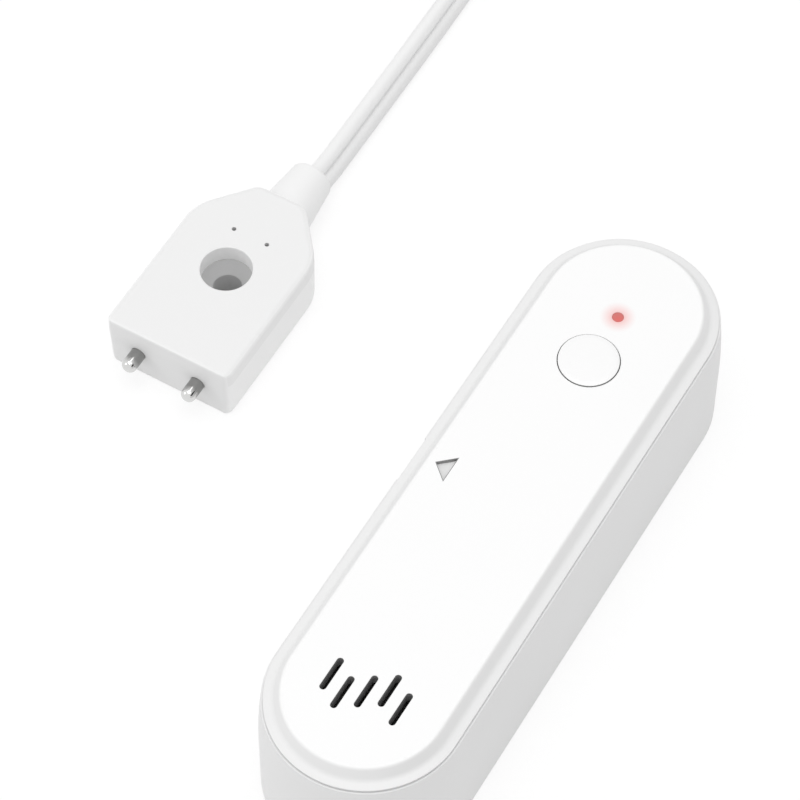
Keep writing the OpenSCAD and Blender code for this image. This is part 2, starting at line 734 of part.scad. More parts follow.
module probe_body() {
    color("whitesmoke") translate([probe_x, probe_y, 0]) difference() {
        intersection() {
            linear_extrude(probe_h) polygon(probe_plan);
            rotate([90, 0, 90]) linear_extrude(probe_l) polygon(probe_cross);
            probe_trim(0, 0, 180, front_cross);
            probe_trim(probe_l, 0, 0, neck_cross);
            probe_trim(probe_straight, probe_w / 2, 90 - shoulder_turn, shoulder_cross);
            probe_trim(probe_straight, -probe_w / 2, shoulder_turn - 90, shoulder_cross);
        }
        translate([screw_x, 0, -over]) cylinder(d = screw_d, h = probe_h);
        translate([screw_x, 0, probe_h - head_depth - (head_d - screw_d) / 2])
            cylinder(d1 = screw_d, d2 = head_d, h = (head_d - screw_d) / 2);
        translate([screw_x, 0, probe_h - head_depth]) cylinder(d = head_d, h = head_depth + over);
        for (s = [-1, 1]) {
            translate([-over, s * pin_pitch / 2, probe_mid_z]) rotate([0, 90, 0])
                cylinder(r = pin_d / 2 + seat_gap, h = pin_in + over);
            translate([vent_x, s * vent_pitch / 2, probe_h - vent_depth]) cylinder(d = vent_d, h = probe_h);
        }
    }
}

// A round pin with a domed tip, pointing out of the probe's front
module probe_pin(side) {
    color("silver") translate([probe_x + pin_in, probe_y + side * pin_pitch / 2, probe_mid_z])
        rotate([0, -90, 0]) rotate_extrude() polygon(rounded(
            [[0, 0], [pin_d / 2, 0], [pin_d / 2, pin_in + pin_out], [0, pin_in + pin_out]],
            [0, 0.2, pin_dome, 0]));
}

module probe_pin_left() {
    probe_pin(1);
}

module probe_pin_right() {
    probe_pin(-1);
}

module strain_relief() {
    color("whitesmoke") translate([boot_x, probe_y, boot_z]) rotate([0, 90, 0]) rotate_extrude()
        polygon(rounded([[0, 0], [boot_r, 0], [boot_end_r, boot_l], [0, boot_l]], [0, 0, 0.4, 0]));
}

module lead() {
    rolls = [for (p = lead_route) p[3]];
    last = len(lead_path) - 1;
    ways = [for (i = [0 : last]) i == 0 || i == last ? [1, 0, 0] : heading(lead_path, i)];
    points = sweep_points(lead_path, rolls, ways, lead_section);
    color("whitesmoke") polyhedron(concat(points, [lead_path[0], lead_path[last]]),
        sweep_faces(last + 1, len(lead_section)));
}

module lead_coil() {
    last = len(coil_path) - 1;
    color("whitesmoke") polyhedron(concat(coil_points, [coil_path[0], coil_path[last]]),
        sweep_faces(last + 1, coil_side));
}

// Band round all the loops at the coil's +X side
module coil_tie() {
    low = loop_r(coil_loops / 2) - cord_t / 2 - tie_gap;
    high = coil_r + cord_t / 2 + tie_gap;
    bottom = coil_z - cord_w / 2 - tie_gap;
    top = coil_z + coil_step + cord_w / 2 + tie_gap;
    color("gray") translate([coil_x, coil_y + tie_w / 2, 0]) rotate([90, 0, 0]) linear_extrude(tie_w) difference() {
        polygon(rounded([[low - tie_t, bottom - tie_t], [high + tie_t, bottom - tie_t], [high + tie_t, top + tie_t],
            [low - tie_t, top + tie_t]], [1.2, 1.2, 1.2, 1.2]));
        polygon(rounded([[low, bottom], [high, bottom], [high, top], [low, top]], [0.7, 0.7, 0.7, 0.7]));
    }
}

// Turned piece on the plug's axis, whose section runs away from the lead
module plug_turned(section) {
    translate([plug_x, plug_y, plug_z]) rotate([0, -90, 0]) rotate_extrude() polygon(section);
}

module plug_grip() {
    front = relief_l + grip_l;
    color("whitesmoke") plug_turned(rounded(
        [[0, 0], [relief_r, 0], [grip_r, relief_l], [grip_r, front], [collar_r, front],
            [collar_r, front + collar_l], [0, front + collar_l]],
        [0, 0.3, 1.5, 0.6, 0, 0.2, 0]));
}

// The plug's shaft pieces follow each other along its axis
sleeve_start = relief_l + grip_l + collar_l;
tip_start = sleeve_start + sleeve_l + insulator_l;

module plug_sleeve() {
    color("silver") plug_turned([[0, sleeve_start], [plug_d / 2, sleeve_start],
        [plug_d / 2, sleeve_start + sleeve_l], [0, sleeve_start + sleeve_l]]);
}

module plug_insulator() {
    color("black") plug_turned([[0, sleeve_start + sleeve_l], [plug_d / 2, sleeve_start + sleeve_l],
        [plug_d / 2, tip_start], [0, tip_start]]);
}

module plug_tip() {
    color("silver") plug_turned(rounded(
        [[0, tip_start], [plug_d / 2, tip_start], [plug_d * 0.37, tip_start + 1.3], [plug_d / 2, tip_start + 2.3],
            [0.5, tip_start + tip_l], [0, tip_start + tip_l]],
        [0, 0, 0.8, 0.6, 0.3, 0]));
}

lower_housing();
mounting_pad();
top_cover();
cover_seal();
button_cap();
light_pipe();
grille_mesh();
sounder_foam();
sounder_case();
sounder_disc();
battery_cell_left();
battery_cell_right();
contact_springs();
contact_plates();
main_board();
board_screws();
board_chips();
radio_shield();
switch_body();
switch_plunger();
status_led();
jack_socket();
jack_contact();
probe_body();
probe_pin_left();
probe_pin_right();
strain_relief();
lead();
lead_coil();
coil_tie();
plug_grip();
plug_sleeve();
plug_insulator();
plug_tip();
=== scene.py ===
"""Looks of a water leak sensor: a pill-shaped alarm unit and its wired floor probe.

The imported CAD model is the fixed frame. This script gives its solids their finishes, lays the
probe's lead along its real route, and makes again the few pieces that need a finer form.
"""
import logging
import math
from collections.abc import Callable, Sequence
from dataclasses import dataclass
from enum import Enum

import bmesh
import bpy
from mathutils import Matrix, Vector


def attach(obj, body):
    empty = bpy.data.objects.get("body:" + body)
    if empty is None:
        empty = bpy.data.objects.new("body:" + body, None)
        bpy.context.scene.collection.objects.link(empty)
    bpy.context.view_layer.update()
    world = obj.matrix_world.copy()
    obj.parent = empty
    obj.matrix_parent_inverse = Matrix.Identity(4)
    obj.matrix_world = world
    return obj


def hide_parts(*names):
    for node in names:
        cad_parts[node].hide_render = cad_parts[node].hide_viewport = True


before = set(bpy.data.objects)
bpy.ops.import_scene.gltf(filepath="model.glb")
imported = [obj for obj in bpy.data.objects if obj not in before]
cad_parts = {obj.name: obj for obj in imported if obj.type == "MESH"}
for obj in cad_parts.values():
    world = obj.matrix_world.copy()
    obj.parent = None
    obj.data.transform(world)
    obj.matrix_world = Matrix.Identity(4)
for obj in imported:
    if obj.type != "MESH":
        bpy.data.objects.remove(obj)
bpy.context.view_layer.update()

LOG = logging.getLogger("leak_sensor")

Tree = bpy.types.NodeTree
Socket = bpy.types.NodeSocket
Point = tuple[float, float, float]
Line = Sequence[tuple[float, float]]

MM = 0.001
# Places on the probe that its form, its finish and the floor share, in millimetres.
SCREW_AT: Point = (21.1, 58.75, 0.0)
VENTS_AT: tuple[Point, ...] = ((28.0, 61.675, 0.0), (28.0, 55.825, 0.0))
FRONT_X = 4.2
MIDDLE_Y = 58.75
PARTING_Z = 7.7
# Most of a noise lies in this range, and it changes the roughness by these factors.
RELIEF_RANGE = (0.25, 0.75)
SHINE_RANGE = (0.92, 1.08)
BEVEL_SAMPLES = 6
# The wave texture turns by 20 radians in one unit.
WAVE_UNIT = 0.05
# The angle in degrees from which an edge of a turned piece is sharp.
TURNED_CREASE = 30.0
# The input of a Geometry Nodes tree that takes a value of each type.
SOCKET_KINDS = {float: "NodeSocketFloat", int: "NodeSocketInt", bpy.types.Object: "NodeSocketObject",
                bpy.types.Material: "NodeSocketMaterial"}


class Body(str, Enum):
    """The CAD bodies that a new piece rides on."""

    UNIT = "unit_base"
    COVER = "cover"
    BUTTON = "button"


class Axis(Enum):
    """The axis that a turned or drawn piece runs along."""

    X = "X"
    Y = "Y"
    Z = "Z"


def linear(hex_colour: str) -> tuple[float, float, float, float]:
    """Turns an sRGB hex value into linear RGBA.

    Args:
        hex_colour: the colour as #RRGGBB.

    Returns:
        The linear colour with full alpha.
    """
    parts = [int(hex_colour[i:i + 2], 16) / 255 for i in (1, 3, 5)]
    return (*[c / 12.92 if c <= 0.04045 else ((c + 0.055) / 1.055) ** 2.4 for c in parts], 1.0)


def per_size(millimetres: float) -> float:
    """Gives the texture scale whose features have this size."""
    return 1 / (millimetres * MM)


def add_node(tree: Tree, kind: str, inputs: dict | None = None, **settings) -> bpy.types.Node:
    """Adds a node with its settings, values and links.

    Args:
        tree: the shader or geometry tree that gets the node.
        kind: the node's type.
        inputs: a value or an output socket for each input, by name or number.
        **settings: the node's own properties.

    Returns:
        The new node.
    """
    node = tree.nodes.new(kind)
    for name, value in settings.items():
        setattr(node, name, value)
    for key, value in (inputs or {}).items():
        if isinstance(value, Socket):
            tree.links.new(value, node.inputs[key])
        else:
            node.inputs[key].default_value = value
    return node


def calc(tree: Tree, operation: str, *terms: Socket | float, **settings) -> Socket:
    """Adds a maths node on its terms, in order, and gives its result."""
    node = add_node(tree, "ShaderNodeMath", dict(enumerate(terms)), operation=operation, **settings)
    return node.outputs[0]


def blend(tree: Tree, share: Socket, under: Socket | str, over: Socket | str) -> Socket:
    """Lays one colour over another.

    Args:
        tree: the tree.
        share: 0 for the lower colour to 1 for the upper one.
        under: the lower colour, as a socket or a hex value.
        over: the upper colour, likewise.

    Returns:
        The mixed colour.
    """
    low, high = (linear(c) if isinstance(c, str) else c for c in (under, over))
    return add_node(tree, "ShaderNodeMix", {0: share, 6: low, 7: high}, data_type="RGBA").outputs[2]


def ramp(tree: Tree, value: Socket, start: float, end: float, low: float = 0.0, high: float = 1.0,
         **settings) -> Socket:
    """Maps a range of values onto another, which holds at its ends.

    Args:
        tree: the tree.
        value: the value.
        start: where the result is low.
        end: where the result is high.
        low: the first result.
        high: the last result.
        **settings: the node's own properties.

    Returns:
        The result.
    """
    return add_node(tree, "ShaderNodeMapRange", {
        "Value": value, "From Min": start, "From Max": end, "To Min": low, "To Max": high},
        **settings).outputs["Result"]


def noise(tree: Tree, place: Socket, scale: float, detail: float) -> Socket:
    """Adds soft noise of a scale and a depth of detail."""
    return add_node(tree, "ShaderNodeTexNoise", {
        "Vector": place, "Scale": scale, "Detail": detail}).outputs["Fac"]


def bands(tree: Tree, place: Socket, size_mm: float, axis: Axis, more: dict) -> Socket:
    """Adds waves of a size that follow each other along an axis, with more inputs of the wave's node."""
    return add_node(tree, "ShaderNodeTexWave", {
        "Vector": place, "Scale": per_size(size_mm) * WAVE_UNIT, **more},
        wave_type="BANDS", bands_direction=axis.value).outputs["Fac"]


def axes_of(tree: Tree, vector: Socket) -> tuple[Socket, ...]:
    """Gives the X, Y and Z of a vector."""
    return tuple(add_node(tree, "ShaderNodeSeparateXYZ", {0: vector}).outputs)


def vector_of(tree: Tree, **axes: Socket) -> Socket:
    """Makes a vector of the given axes, with 0 for the rest."""
    return add_node(tree, "ShaderNodeCombineXYZ", axes).outputs[0]


def distance(tree: Tree, place: Socket, point: Point) -> Socket:
    """Gives the distance from a point that is given in millimetres."""
    return add_node(tree, "ShaderNodeVectorMath", {
        0: place, 1: Vector(point) * MM}, operation="DISTANCE").outputs["Value"]


def stored(tree: Tree, name: str) -> Socket:
    """Gives a value that the mesh itself stores."""
    return add_node(tree, "ShaderNodeAttribute", attribute_name=name).outputs["Fac"]


def blank(name: str) -> bpy.types.Material:
    """Starts a material with an empty tree."""
    material = bpy.data.materials.new(name)
    material.use_nodes = True
    material.node_tree.nodes.clear()
    return material


@dataclass(frozen=True)
class Finish:
    """A plain moulded surface, and what every other finish starts from."""

    name: str
    colour: str
    tone: str
    roughness: float
    ior: float = 1.5
    metallic: float = 0.0
    grain_mm: float = 0.4
    grain_depth_mm: float = 0.003
    tone_mm: float = 14.0
    edge_mm: float = 0.0
    coat: float = 0.0
    sheen: float = 0.0

    def coordinates(self, tree: Tree) -> Socket:
        """Gives the coordinates that the patterns follow: the object's own."""
        return add_node(tree, "ShaderNodeTexCoord").outputs["Object"]

    def height(self, tree: Tree, place: Socket) -> Socket:
        """Gives the fine relief of the surface: here the even grain of an eroded mould.

        Args:
            tree: the material's tree.
            place: the coordinates.

        Returns:
            A value from 0 to 1.
        """
        return noise(tree, place, per_size(self.grain_mm), 2.0)

    def paint(self, tree: Tree, place: Socket) -> Socket:
        """Gives the surface colour: two close tones that drift over the piece.

        Args:
            tree: the material's tree.
            place: the coordinates.

        Returns:
            The colour.
        """
        return blend(tree, noise(tree, place, per_size(self.tone_mm), 1.0), self.colour, self.tone)

    def lights(self, tree: Tree, place: Socket) -> dict:
        """Gives the shader's inputs for a surface that glows: none here."""
        return {}

    def material(self) -> bpy.types.Material:
        """Builds the material, or finds it if it is there already.

        Returns:
            The material.
        """
        found = bpy.data.materials.get(self.name)
        if found:
            return found
        material = blank(self.name)
        tree = material.node_tree
        place = self.coordinates(tree)
        relief = self.height(tree, place)
        shine = ramp(tree, relief, *RELIEF_RANGE, *(self.roughness * s for s in SHINE_RANGE))
        bump = {"Height": relief, "Strength": 1.0, "Distance": self.grain_depth_mm * MM}
        if self.edge_mm:
            edge = add_node(tree, "ShaderNodeBevel", {"Radius": self.edge_mm * MM}, samples=BEVEL_SAMPLES)
            bump["Normal"] = edge.outputs["Normal"]
        normal = add_node(tree, "ShaderNodeBump", bump)
        shader = add_node(tree, "ShaderNodeBsdfPrincipled", {
            "Base Color": self.paint(tree, place), "Roughness": shine, "Metallic": self.metallic,
            "IOR": self.ior, "Coat Weight": self.coat, "Sheen Weight": self.sheen,
            "Normal": normal.outputs["Normal"], **self.lights(tree, place)})
        add_node(tree, "ShaderNodeOutputMaterial", {"Surface": shader.outputs["BSDF"]})
        return material


@dataclass(frozen=True)
class CoverPlastic(Finish):
    """White moulded plastic with a painted glow round the status light, and painted shade on its coves, slot
    walls and mark.
    """

    # The coves' tone is painted shade: they are greyer than the top by how light falls on them.
    cove: str = "#ECECEC"
    cove_from_mm: float = 23.27
    cove_to_mm: float = 22.9
    # The pink round the status light is a painted glow of its light.
    painted_glow: str = "#F6CCCA"
    light_at: Point = (34.8, 0.0, 0.0)
    halo_from_mm: float = 0.85
    halo_to_mm: float = 2.75
    halo_fall: float = 1.25
    # The slot walls are grey by painted shade.
    slot_painted_shade: str = "#9A9A9A"
    slots_at: Point = (-36.4, 0.0, 0.0)
    slots_r_mm: float = 9.2
    top_mm: float = 23.27
    mark: tuple[Point, Point, Point] = ((-2.1, 7.85, 0.0), (2.1, 7.85, 0.0), (0.0, 10.2, 0.0))
    # The mark's walls and the thin line round them are grey by painted shade.
    mark_painted_shade: str = "#939393"
    mark_line_mm: float = 0.06
    mark_line_at_mm: float = -0.04

    def paint(self, tree: Tree, place: Socket) -> Socket:
        """Adds painted shade on the coves, the slot walls and the mark, and a painted pink glow round the
        status light, to the plain colour.
        """
        x, y, z = axes_of(tree, place)
        flat = vector_of(tree, X=x, Y=y)
        lower = ramp(tree, z, self.cove_from_mm * MM, self.cove_to_mm * MM)
        colour = blend(tree, lower, super().paint(tree, place), self.cove)
        glow = ramp(tree, distance(tree, flat, self.light_at),
                    self.halo_from_mm * MM, self.halo_to_mm * MM, 1.0, 0.0)
        colour = blend(tree, calc(tree, "POWER", glow, self.halo_fall), colour, self.painted_glow)
        slots = calc(tree, "LESS_THAN", distance(tree, flat, self.slots_at), self.slots_r_mm * MM)
        below = calc(tree, "LESS_THAN", z, self.top_mm * MM)
        colour = blend(tree, calc(tree, "MULTIPLY", slots, below), colour, self.slot_painted_shade)
        return blend(tree, self.mark_edge(tree, flat), colour, self.mark_painted_shade)

    def mark_edge(self, tree: Tree, flat: Socket) -> Socket:
        """Finds the walls of the pointer mark and the thin line round their upper edge, which get painted
        shade.

        Args:
            tree: the material's tree.
            flat: the place in plan.

        Returns:
            1 on the walls and the line, 0 elsewhere.
        """
        inner = None
        for a, b in zip(self.mark, (*self.mark[1:], self.mark[0])):
            along = (Vector(b) - Vector(a)).normalized()
            inward = Vector((-along.y, along.x, 0.0))
            reach = add_node(tree, "ShaderNodeVectorMath", {0: flat, 1: inward}, operation="DOT_PRODUCT")
            past = calc(tree, "SUBTRACT", reach.outputs["Value"], inward.dot(Vector(a)) * MM)
            inner = past if inner is None else calc(tree, "MINIMUM", inner, past)
        return calc(tree, "COMPARE", inner, self.mark_line_at_mm * MM, self.mark_line_mm * MM)


@dataclass(frozen=True)
class CapPlastic(Finish):
    """White moulded plastic with a skirt in painted shade, which makes the thin gap round it show."""

    # The skirt's grey is painted shade of the gap round the button.
    skirt: str = "#9A9A9A"
    top_mm: float = 23.4

    def paint(self, tree: Tree, place: Socket) -> Socket:
        """Paints shade on the skirt below the crown's edge."""
        below = calc(tree, "LESS_THAN", axes_of(tree, place)[2], self.top_mm * MM)
        return blend(tree, below, super().paint(tree, place), self.skirt)


@dataclass(frozen=True)
class ProbePlastic(Finish):
    """White moulded plastic with painted shade: greyer on its top, its front and its upper sides, and grey in
    its holes.
    """

    # These tones are painted shade: the top, the upper sides and the front are greyer by how light falls on
    # them.
    flat: str = "#EFEFEF"
    flat_from: float = 0.7
    flat_to: float = 0.95
    upper: str = "#F4F4F4"
    inner_mm: float = 5.0
    front: str = "#EEEEEE"
    front_reach_mm: float = 1.5
    # For each hole its middle, radius, level, reach above and below the level, and the tone of its painted
    # shade.
    holes: tuple[tuple[Point, float, float, float, str], ...] = (
        (SCREW_AT, 4.1, 6.6, 0.9, "#C0C0C0"), (SCREW_AT, 2.4, 2.8, 2.9, "#D2D2D2"),
        *((at, 0.4, 9.2, 1.25, "#E0E0E0") for at in VENTS_AT))

    def paint(self, tree: Tree, place: Socket) -> Socket:
        """Paints shade on the upper sides, the top, the front, the screw's seat and bore, and the vents."""
        x, y, z = axes_of(tree, place)
        ahead, across, up = axes_of(tree, add_node(tree, "ShaderNodeTexCoord").outputs["Normal"])
        side = calc(tree, "GREATER_THAN", calc(tree, "ABSOLUTE", across), self.flat_from)
        inner = calc(tree, "COMPARE", y, MIDDLE_Y * MM, self.inner_mm * MM)
        above = calc(tree, "GREATER_THAN", z, PARTING_Z * MM)
        half = calc(tree, "MULTIPLY", above, calc(tree, "SUBTRACT", side, inner), use_clamp=True)
        colour = blend(tree, half, super().paint(tree, place), self.upper)
        colour = blend(tree, ramp(tree, up, self.flat_from, self.flat_to), colour, self.flat)
        near = calc(tree, "COMPARE", x, FRONT_X * MM, self.front_reach_mm * MM)
        face = calc(tree, "MULTIPLY", ramp(tree, ahead, -self.flat_from, -self.flat_to), near)
        colour = blend(tree, face, colour, self.front)
        flat = vector_of(tree, X=x, Y=y)
        for middle, radius, level, reach, tone in self.holes:
            inside = calc(tree, "LESS_THAN", distance(tree, flat, middle), radius * MM)
            down = calc(tree, "COMPARE", z, level * MM, reach * MM)
            colour = blend(tree, calc(tree, "MULTIPLY", inside, down), colour, tone)
        return colour


@dataclass(frozen=True)
class LitPipe(Finish):
    """Clear red plastic with a small lamp behind it: brightest beside its middle."""

    glow: str = "#E8382C"
    strength: float = 0.3
    axis_at: Point = (34.55, -0.2, 23.25)
    radius_mm: float = 1.0

    def lights(self, tree: Tree, place: Socket) -> dict:
        """Makes the glow fade from the pipe's axis to its rim."""
        core = ramp(tree, distance(tree, place, self.axis_at), 0.0, self.radius_mm * MM, 1.0, 0.0,
                    interpolation_type="SMOOTHSTEP")
        colour = blend(tree, core, self.colour, self.glow)
        return {"Emission Color": colour, "Emission Strength": self.strength}


@dataclass(frozen=True)
class TurnedMetal(Finish):
    """Plated metal with the faint rings that turning leaves round its axis."""

    axis: Axis = Axis.X

    def height(self, tree: Tree, place: Socket) -> Socket:
        """Gives fine rings across the axis."""
        return bands(tree, place, self.grain_mm, self.axis, {
            "Distortion": 1.5, "Detail": 2.0, "Detail Scale": 3.0})


@dataclass(frozen=True)
class ShadePaintedPin(TurnedMetal):
    """Plated metal with a bright tip and a shaft made duller by painted shade."""

    # The shaft's dull tone is painted shade.
    shaft_painted_shade: str = "#9C9C9B"
    shade_from_mm: float = 1.5
    shade_to_mm: float = 2.6

    def paint(self, tree: Tree, place: Socket) -> Socket:
        """Paints shade on the shaft behind the tip."""
        behind = ramp(tree, axes_of(tree, place)[0], self.shade_from_mm * MM, self.shade_to_mm * MM)
        return blend(tree, behind, super().paint(tree, place), self.shaft_painted_shade)


@dataclass(frozen=True)
class BrushedSheet(Finish):
    """Rolled sheet metal whose fine scratches run along one axis."""

    axis: Axis = Axis.X
    stretch: float = 14.0

    def height(self, tree: Tree, place: Socket) -> Socket:
        """Gives noise drawn out along the axis."""
        scale = [1 / self.stretch if a is self.axis else 1.0 for a in Axis]
        drawn = add_node(tree, "ShaderNodeMapping", {"Vector": place, "Scale": scale})
        return noise(tree, drawn.outputs[0], per_size(self.grain_mm), 3.0)


@dataclass(frozen=True)
class SoftVinyl(Finish):
    """Extruded soft PVC: a faint sheen, die lines that run along the lead, and painted shade on the second
    core.
    """

    line_share: float = 0.06
    along_mm: float = 25.0
    drift: float = 0.3
    # The second core's tone is painted shade.
    second: str = "#EAEAEA"
    second_from: float = 0.5

    def coordinates(self, tree: Tree) -> Socket:
        """Gives coordinates that run round and along the lead."""
        lines = calc(tree, "MULTIPLY", stored(tree, "girth"), 1 / self.line_share)
        reach = calc(tree, "MULTIPLY", stored(tree, "along"), per_size(self.along_mm))
        return vector_of(tree, X=lines, Y=reach)

    def height(self, tree: Tree, place: Socket) -> Socket:
        """Gives long soft lines."""
        return noise(tree, place, 1.0, 1.0)

    def paint(self, tree: Tree, place: Socket) -> Socket:
        """Gives two close whites that change along the lead, and painted shade on the second core."""
        white = blend(tree, noise(tree, place, self.drift, 0.0), self.colour, self.tone)
        second = calc(tree, "GREATER_THAN", stored(tree, "girth"), self.second_from)
        return blend(tree, second, white, self.second)


@dataclass(frozen=True)
class WovenBand(Finish):
    """Woven strap: warp and weft threads that cross over and under."""

    def height(self, tree: Tree, place: Socket) -> Socket:
        """Gives the crossing threads as a checker of rounded humps."""
        threads = [bands(tree, place, self.grain_mm, a, {"Distortion": 0.2}) for a in (Axis.Y, Axis.Z)]
        return calc(tree, "MULTIPLY", *threads)


@dataclass(frozen=True)
class CellFoam(Finish):
    """Foam or sponge rubber with small closed cells."""

    def height(self, tree: Tree, place: Socket) -> Socket:
        """Gives the rims of the cells."""
        return add_node(tree, "ShaderNodeTexVoronoi", {
            "Vector": place, "Scale": per_size(self.grain_mm)}, feature="F1").outputs["Distance"]


@dataclass(frozen=True)
class CellFilm(Finish):
    """Printed film round a dry cell, with the bare steel can at both ends and a plain band."""

    band: str = "#B9BDBE"
    steel: str = "#8F9294"
    from_mm: float = 0.0
    to_mm: float = 44.5
    rim_mm: float = 1.4
    band_mm: float = 9.0

    def paint(self, tree: Tree, place: Socket) -> Socket:
        """Lays the band and the steel ends over the film's colour, by the place along the cell."""
        along = axes_of(tree, place)[0]
        way = 1 if self.to_mm > self.from_mm else -1
        past, before = ("GREATER_THAN", "LESS_THAN")[::way]
        colour = super().paint(tree, place)
        for test, edge, shade in (
                (past, self.to_mm - way * self.band_mm, self.band),
                (past, self.to_mm - way * self.rim_mm, self.steel),
                (before, self.from_mm + way * self.rim_mm, self.steel)):
            colour = blend(tree, calc(tree, test, along, edge * MM), colour, shade)
        return colour


@dataclass(frozen=True)
class BoardMask(Finish):
    """Solder mask over copper: the tracks show as slightly lighter, raised lines."""

    track_mm: float = 2.2
    randomness: float = 0.75
    border: tuple[float, float] = (0.06, 0.12)

    def height(self, tree: Tree, place: Socket) -> Socket:
        """Gives the tracks as the straight borders of cells in a city-block pattern."""
        second, first = (add_node(tree, "ShaderNodeTexVoronoi", {
            "Vector": place, "Scale": per_size(self.track_mm), "Randomness": self.randomness},
            feature=feature, distance="MANHATTAN").outputs["Distance"] for feature in ("F2", "F1"))
        return ramp(tree, calc(tree, "SUBTRACT", second, first), *self.border, 1.0, 0.0)

    def paint(self, tree: Tree, place: Socket) -> Socket:
        """Lightens the mask over the tracks."""
        return blend(tree, self.height(tree, place), self.colour, self.tone)


# Some tones are painted shade, set so that the render's grey levels come close to the
# photograph's, and aren't proven colours of the material: the cover's coves, slot walls and mark,
# the button's skirt, the probe's faces and holes, the pins' shafts and the lead's second core.
#
# ABS from an eroded mould: a satin skin without a mirror image. Its true grain of 0.05 mm is too
# fine to show, so it is drawn at 0.4 mm.
SHELL_ABS = Finish("shell_satin_abs", "#EFEFEF", "#EDEDED", 0.48, 1.53, edge_mm=0.12)
COVER_ABS = CoverPlastic("cover_satin_abs", "#FBFBFB", "#FAFAFA", 0.46, 1.53, edge_mm=0.12)
PROBE_ABS = ProbePlastic("probe_satin_abs", "#FCFCFC", "#FBFBFB", 0.5, 1.53, edge_mm=0.15)
# The button's mould is polished, so it is smoother than the cover.
BUTTON_ABS = CapPlastic("button_polished_abs", "#FAFAFA", "#F9F9F9", 0.32, 1.53, grain_depth_mm=0.0005)
# Soft PVC is extruded round the wires and moulded on the ends.
LEAD_PVC = SoftVinyl("lead_soft_pvc", "#F5F5F5", "#F3F3F3", 0.4, 1.53, grain_depth_mm=0.02, sheen=0.1)
BOOT_PVC = Finish("boot_soft_pvc", "#F6F6F6", "#F4F4F4", 0.45, 1.53, sheen=0.1, edge_mm=0.2)
LIGHT_RED = LitPipe("light_pipe_red_acrylic", "#B85F5A", "#BE6560", 0.12, 1.49, coat=0.5)
# Nickel over turned brass: a grey mirror with faint rings.
PIN_NICKEL = TurnedMetal("pin_turned_nickel", "#D4D4D3", "#C9C9C8", 0.08, metallic=1.0, grain_mm=0.3,
                         grain_depth_mm=0.0006)
# The probe's pins carry painted shade on their shafts.
PROBE_NICKEL = ShadePaintedPin("probe_worn_nickel", "#DCDCDB", "#D2D2D1", 0.1, metallic=1.0, grain_mm=0.3,
                       grain_depth_mm=0.0006)
CONTACT_NICKEL = BrushedSheet("contact_rolled_nickel", "#B4B2AC", "#A9A7A1", 0.3, metallic=1.0, grain_mm=0.3)
SHIELD_TIN = BrushedSheet("shield_tinned_steel", "#B0B1B2", "#A2A3A4", 0.38, metallic=1.0, axis=Axis.Y)
SOUNDER_BRASS = BrushedSheet("disc_rolled_brass", "#C29A4A", "#B58D40", 0.32, metallic=1.0, grain_mm=0.3)
WEAVE_BLACK = Finish("weave_black_polyester", "#1A1A1B", "#121213", 0.7, 1.55, grain_mm=0.3)
FOAM_BLACK = CellFoam("gasket_black_foam", "#1E1E1F", "#171718", 0.85, grain_mm=0.35, grain_depth_mm=0.05)
PAD_FOAM = CellFoam("pad_grey_foam_tape", "#C9C9C8", "#BFBFBE", 0.75, grain_mm=0.5, grain_depth_mm=0.03)
SEAL_RUBBER = Finish("seal_grey_silicone", "#5A5B5C", "#525354", 0.62, 1.41, grain_mm=0.5)
SOUNDER_CASE = Finish("sounder_black_pbt", "#232324", "#1C1C1D", 0.5, 1.57)
SOCKET_BLACK = Finish("socket_black_pbt", "#202021", "#191919", 0.45, 1.57)
CHIP_EPOXY = Finish("chip_black_epoxy", "#2A2A2B", "#232324", 0.6, 1.55, grain_mm=0.2)
SWITCH_GREY = Finish("switch_grey_nylon", "#4C4D4F", "#454648", 0.5, 1.53)
PLUNGER_BLACK = Finish("plunger_black_nylon", "#1D1D1E", "#161617", 0.42, 1.53)
LAMP_EPOXY = Finish("lamp_milky_epoxy", "#F0D9D4", "#E8CEC8", 0.25, 1.54, coat=0.4)
BOARD_GREEN = BoardMask("board_green_mask", "#1E5B38", "#2F7A4C", 0.35, grain_depth_mm=0.03)
TIE_STRAP = WovenBand("tie_grey_woven_strap", "#A4A5A7", "#97989A", 0.8, grain_mm=0.6, grain_depth_mm=0.08,
                      sheen=0.3)
CELL_LEFT = CellFilm("cell_film_left", "#2E6B4F", "#296347", 0.3, from_mm=-24.3, to_mm=20.2, coat=0.3)
CELL_RIGHT = CellFilm("cell_film_right", "#2E6B4F", "#296347", 0.3, from_mm=17.0, to_mm=-27.5, coat=0.3)


def dress(finishes: dict[str, Finish]) -> None:
    """Gives CAD nodes their finishes, by the nodes' names."""
    for node, finish in finishes.items():
        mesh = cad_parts[node].data
        mesh.materials.clear()
        mesh.materials.append(finish.material())
        LOG.info("%s dressed in %s", node, finish.name)


def keep(piece: bpy.types.Object, body: Body, slot: str, *nodes: str) -> None:
    """Puts a new piece on its body, in the place of CAD nodes.

    Args:
        piece: the finished mesh object.
        body: the body it rides on.
        slot: the material slot's name; not used.
        *nodes: the CAD nodes it stands for.
    """
    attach(piece, body.value)
    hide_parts(*nodes)
    LOG.info("%s made, %d faces, on %s", piece.name, len(piece.data.polygons), body.value)


def put(name: str, data: bpy.types.ID) -> bpy.types.Object:
    """Puts an object of some mesh, curve, lamp or camera in the scene."""
    thing = bpy.data.objects.new(name, data)
    bpy.context.scene.collection.objects.link(thing)
    return thing


def settle(piece: bpy.types.Object) -> None:
    """Makes what an object's modifier shows its plain mesh, and removes the modifier."""
    depsgraph = bpy.context.evaluated_depsgraph_get()
    mesh = bpy.data.meshes.new_from_object(
        piece.evaluated_get(depsgraph), preserve_all_data_layers=True, depsgraph=depsgraph)
    piece.modifiers.clear()
    piece.data = mesh
    mesh.name = piece.name


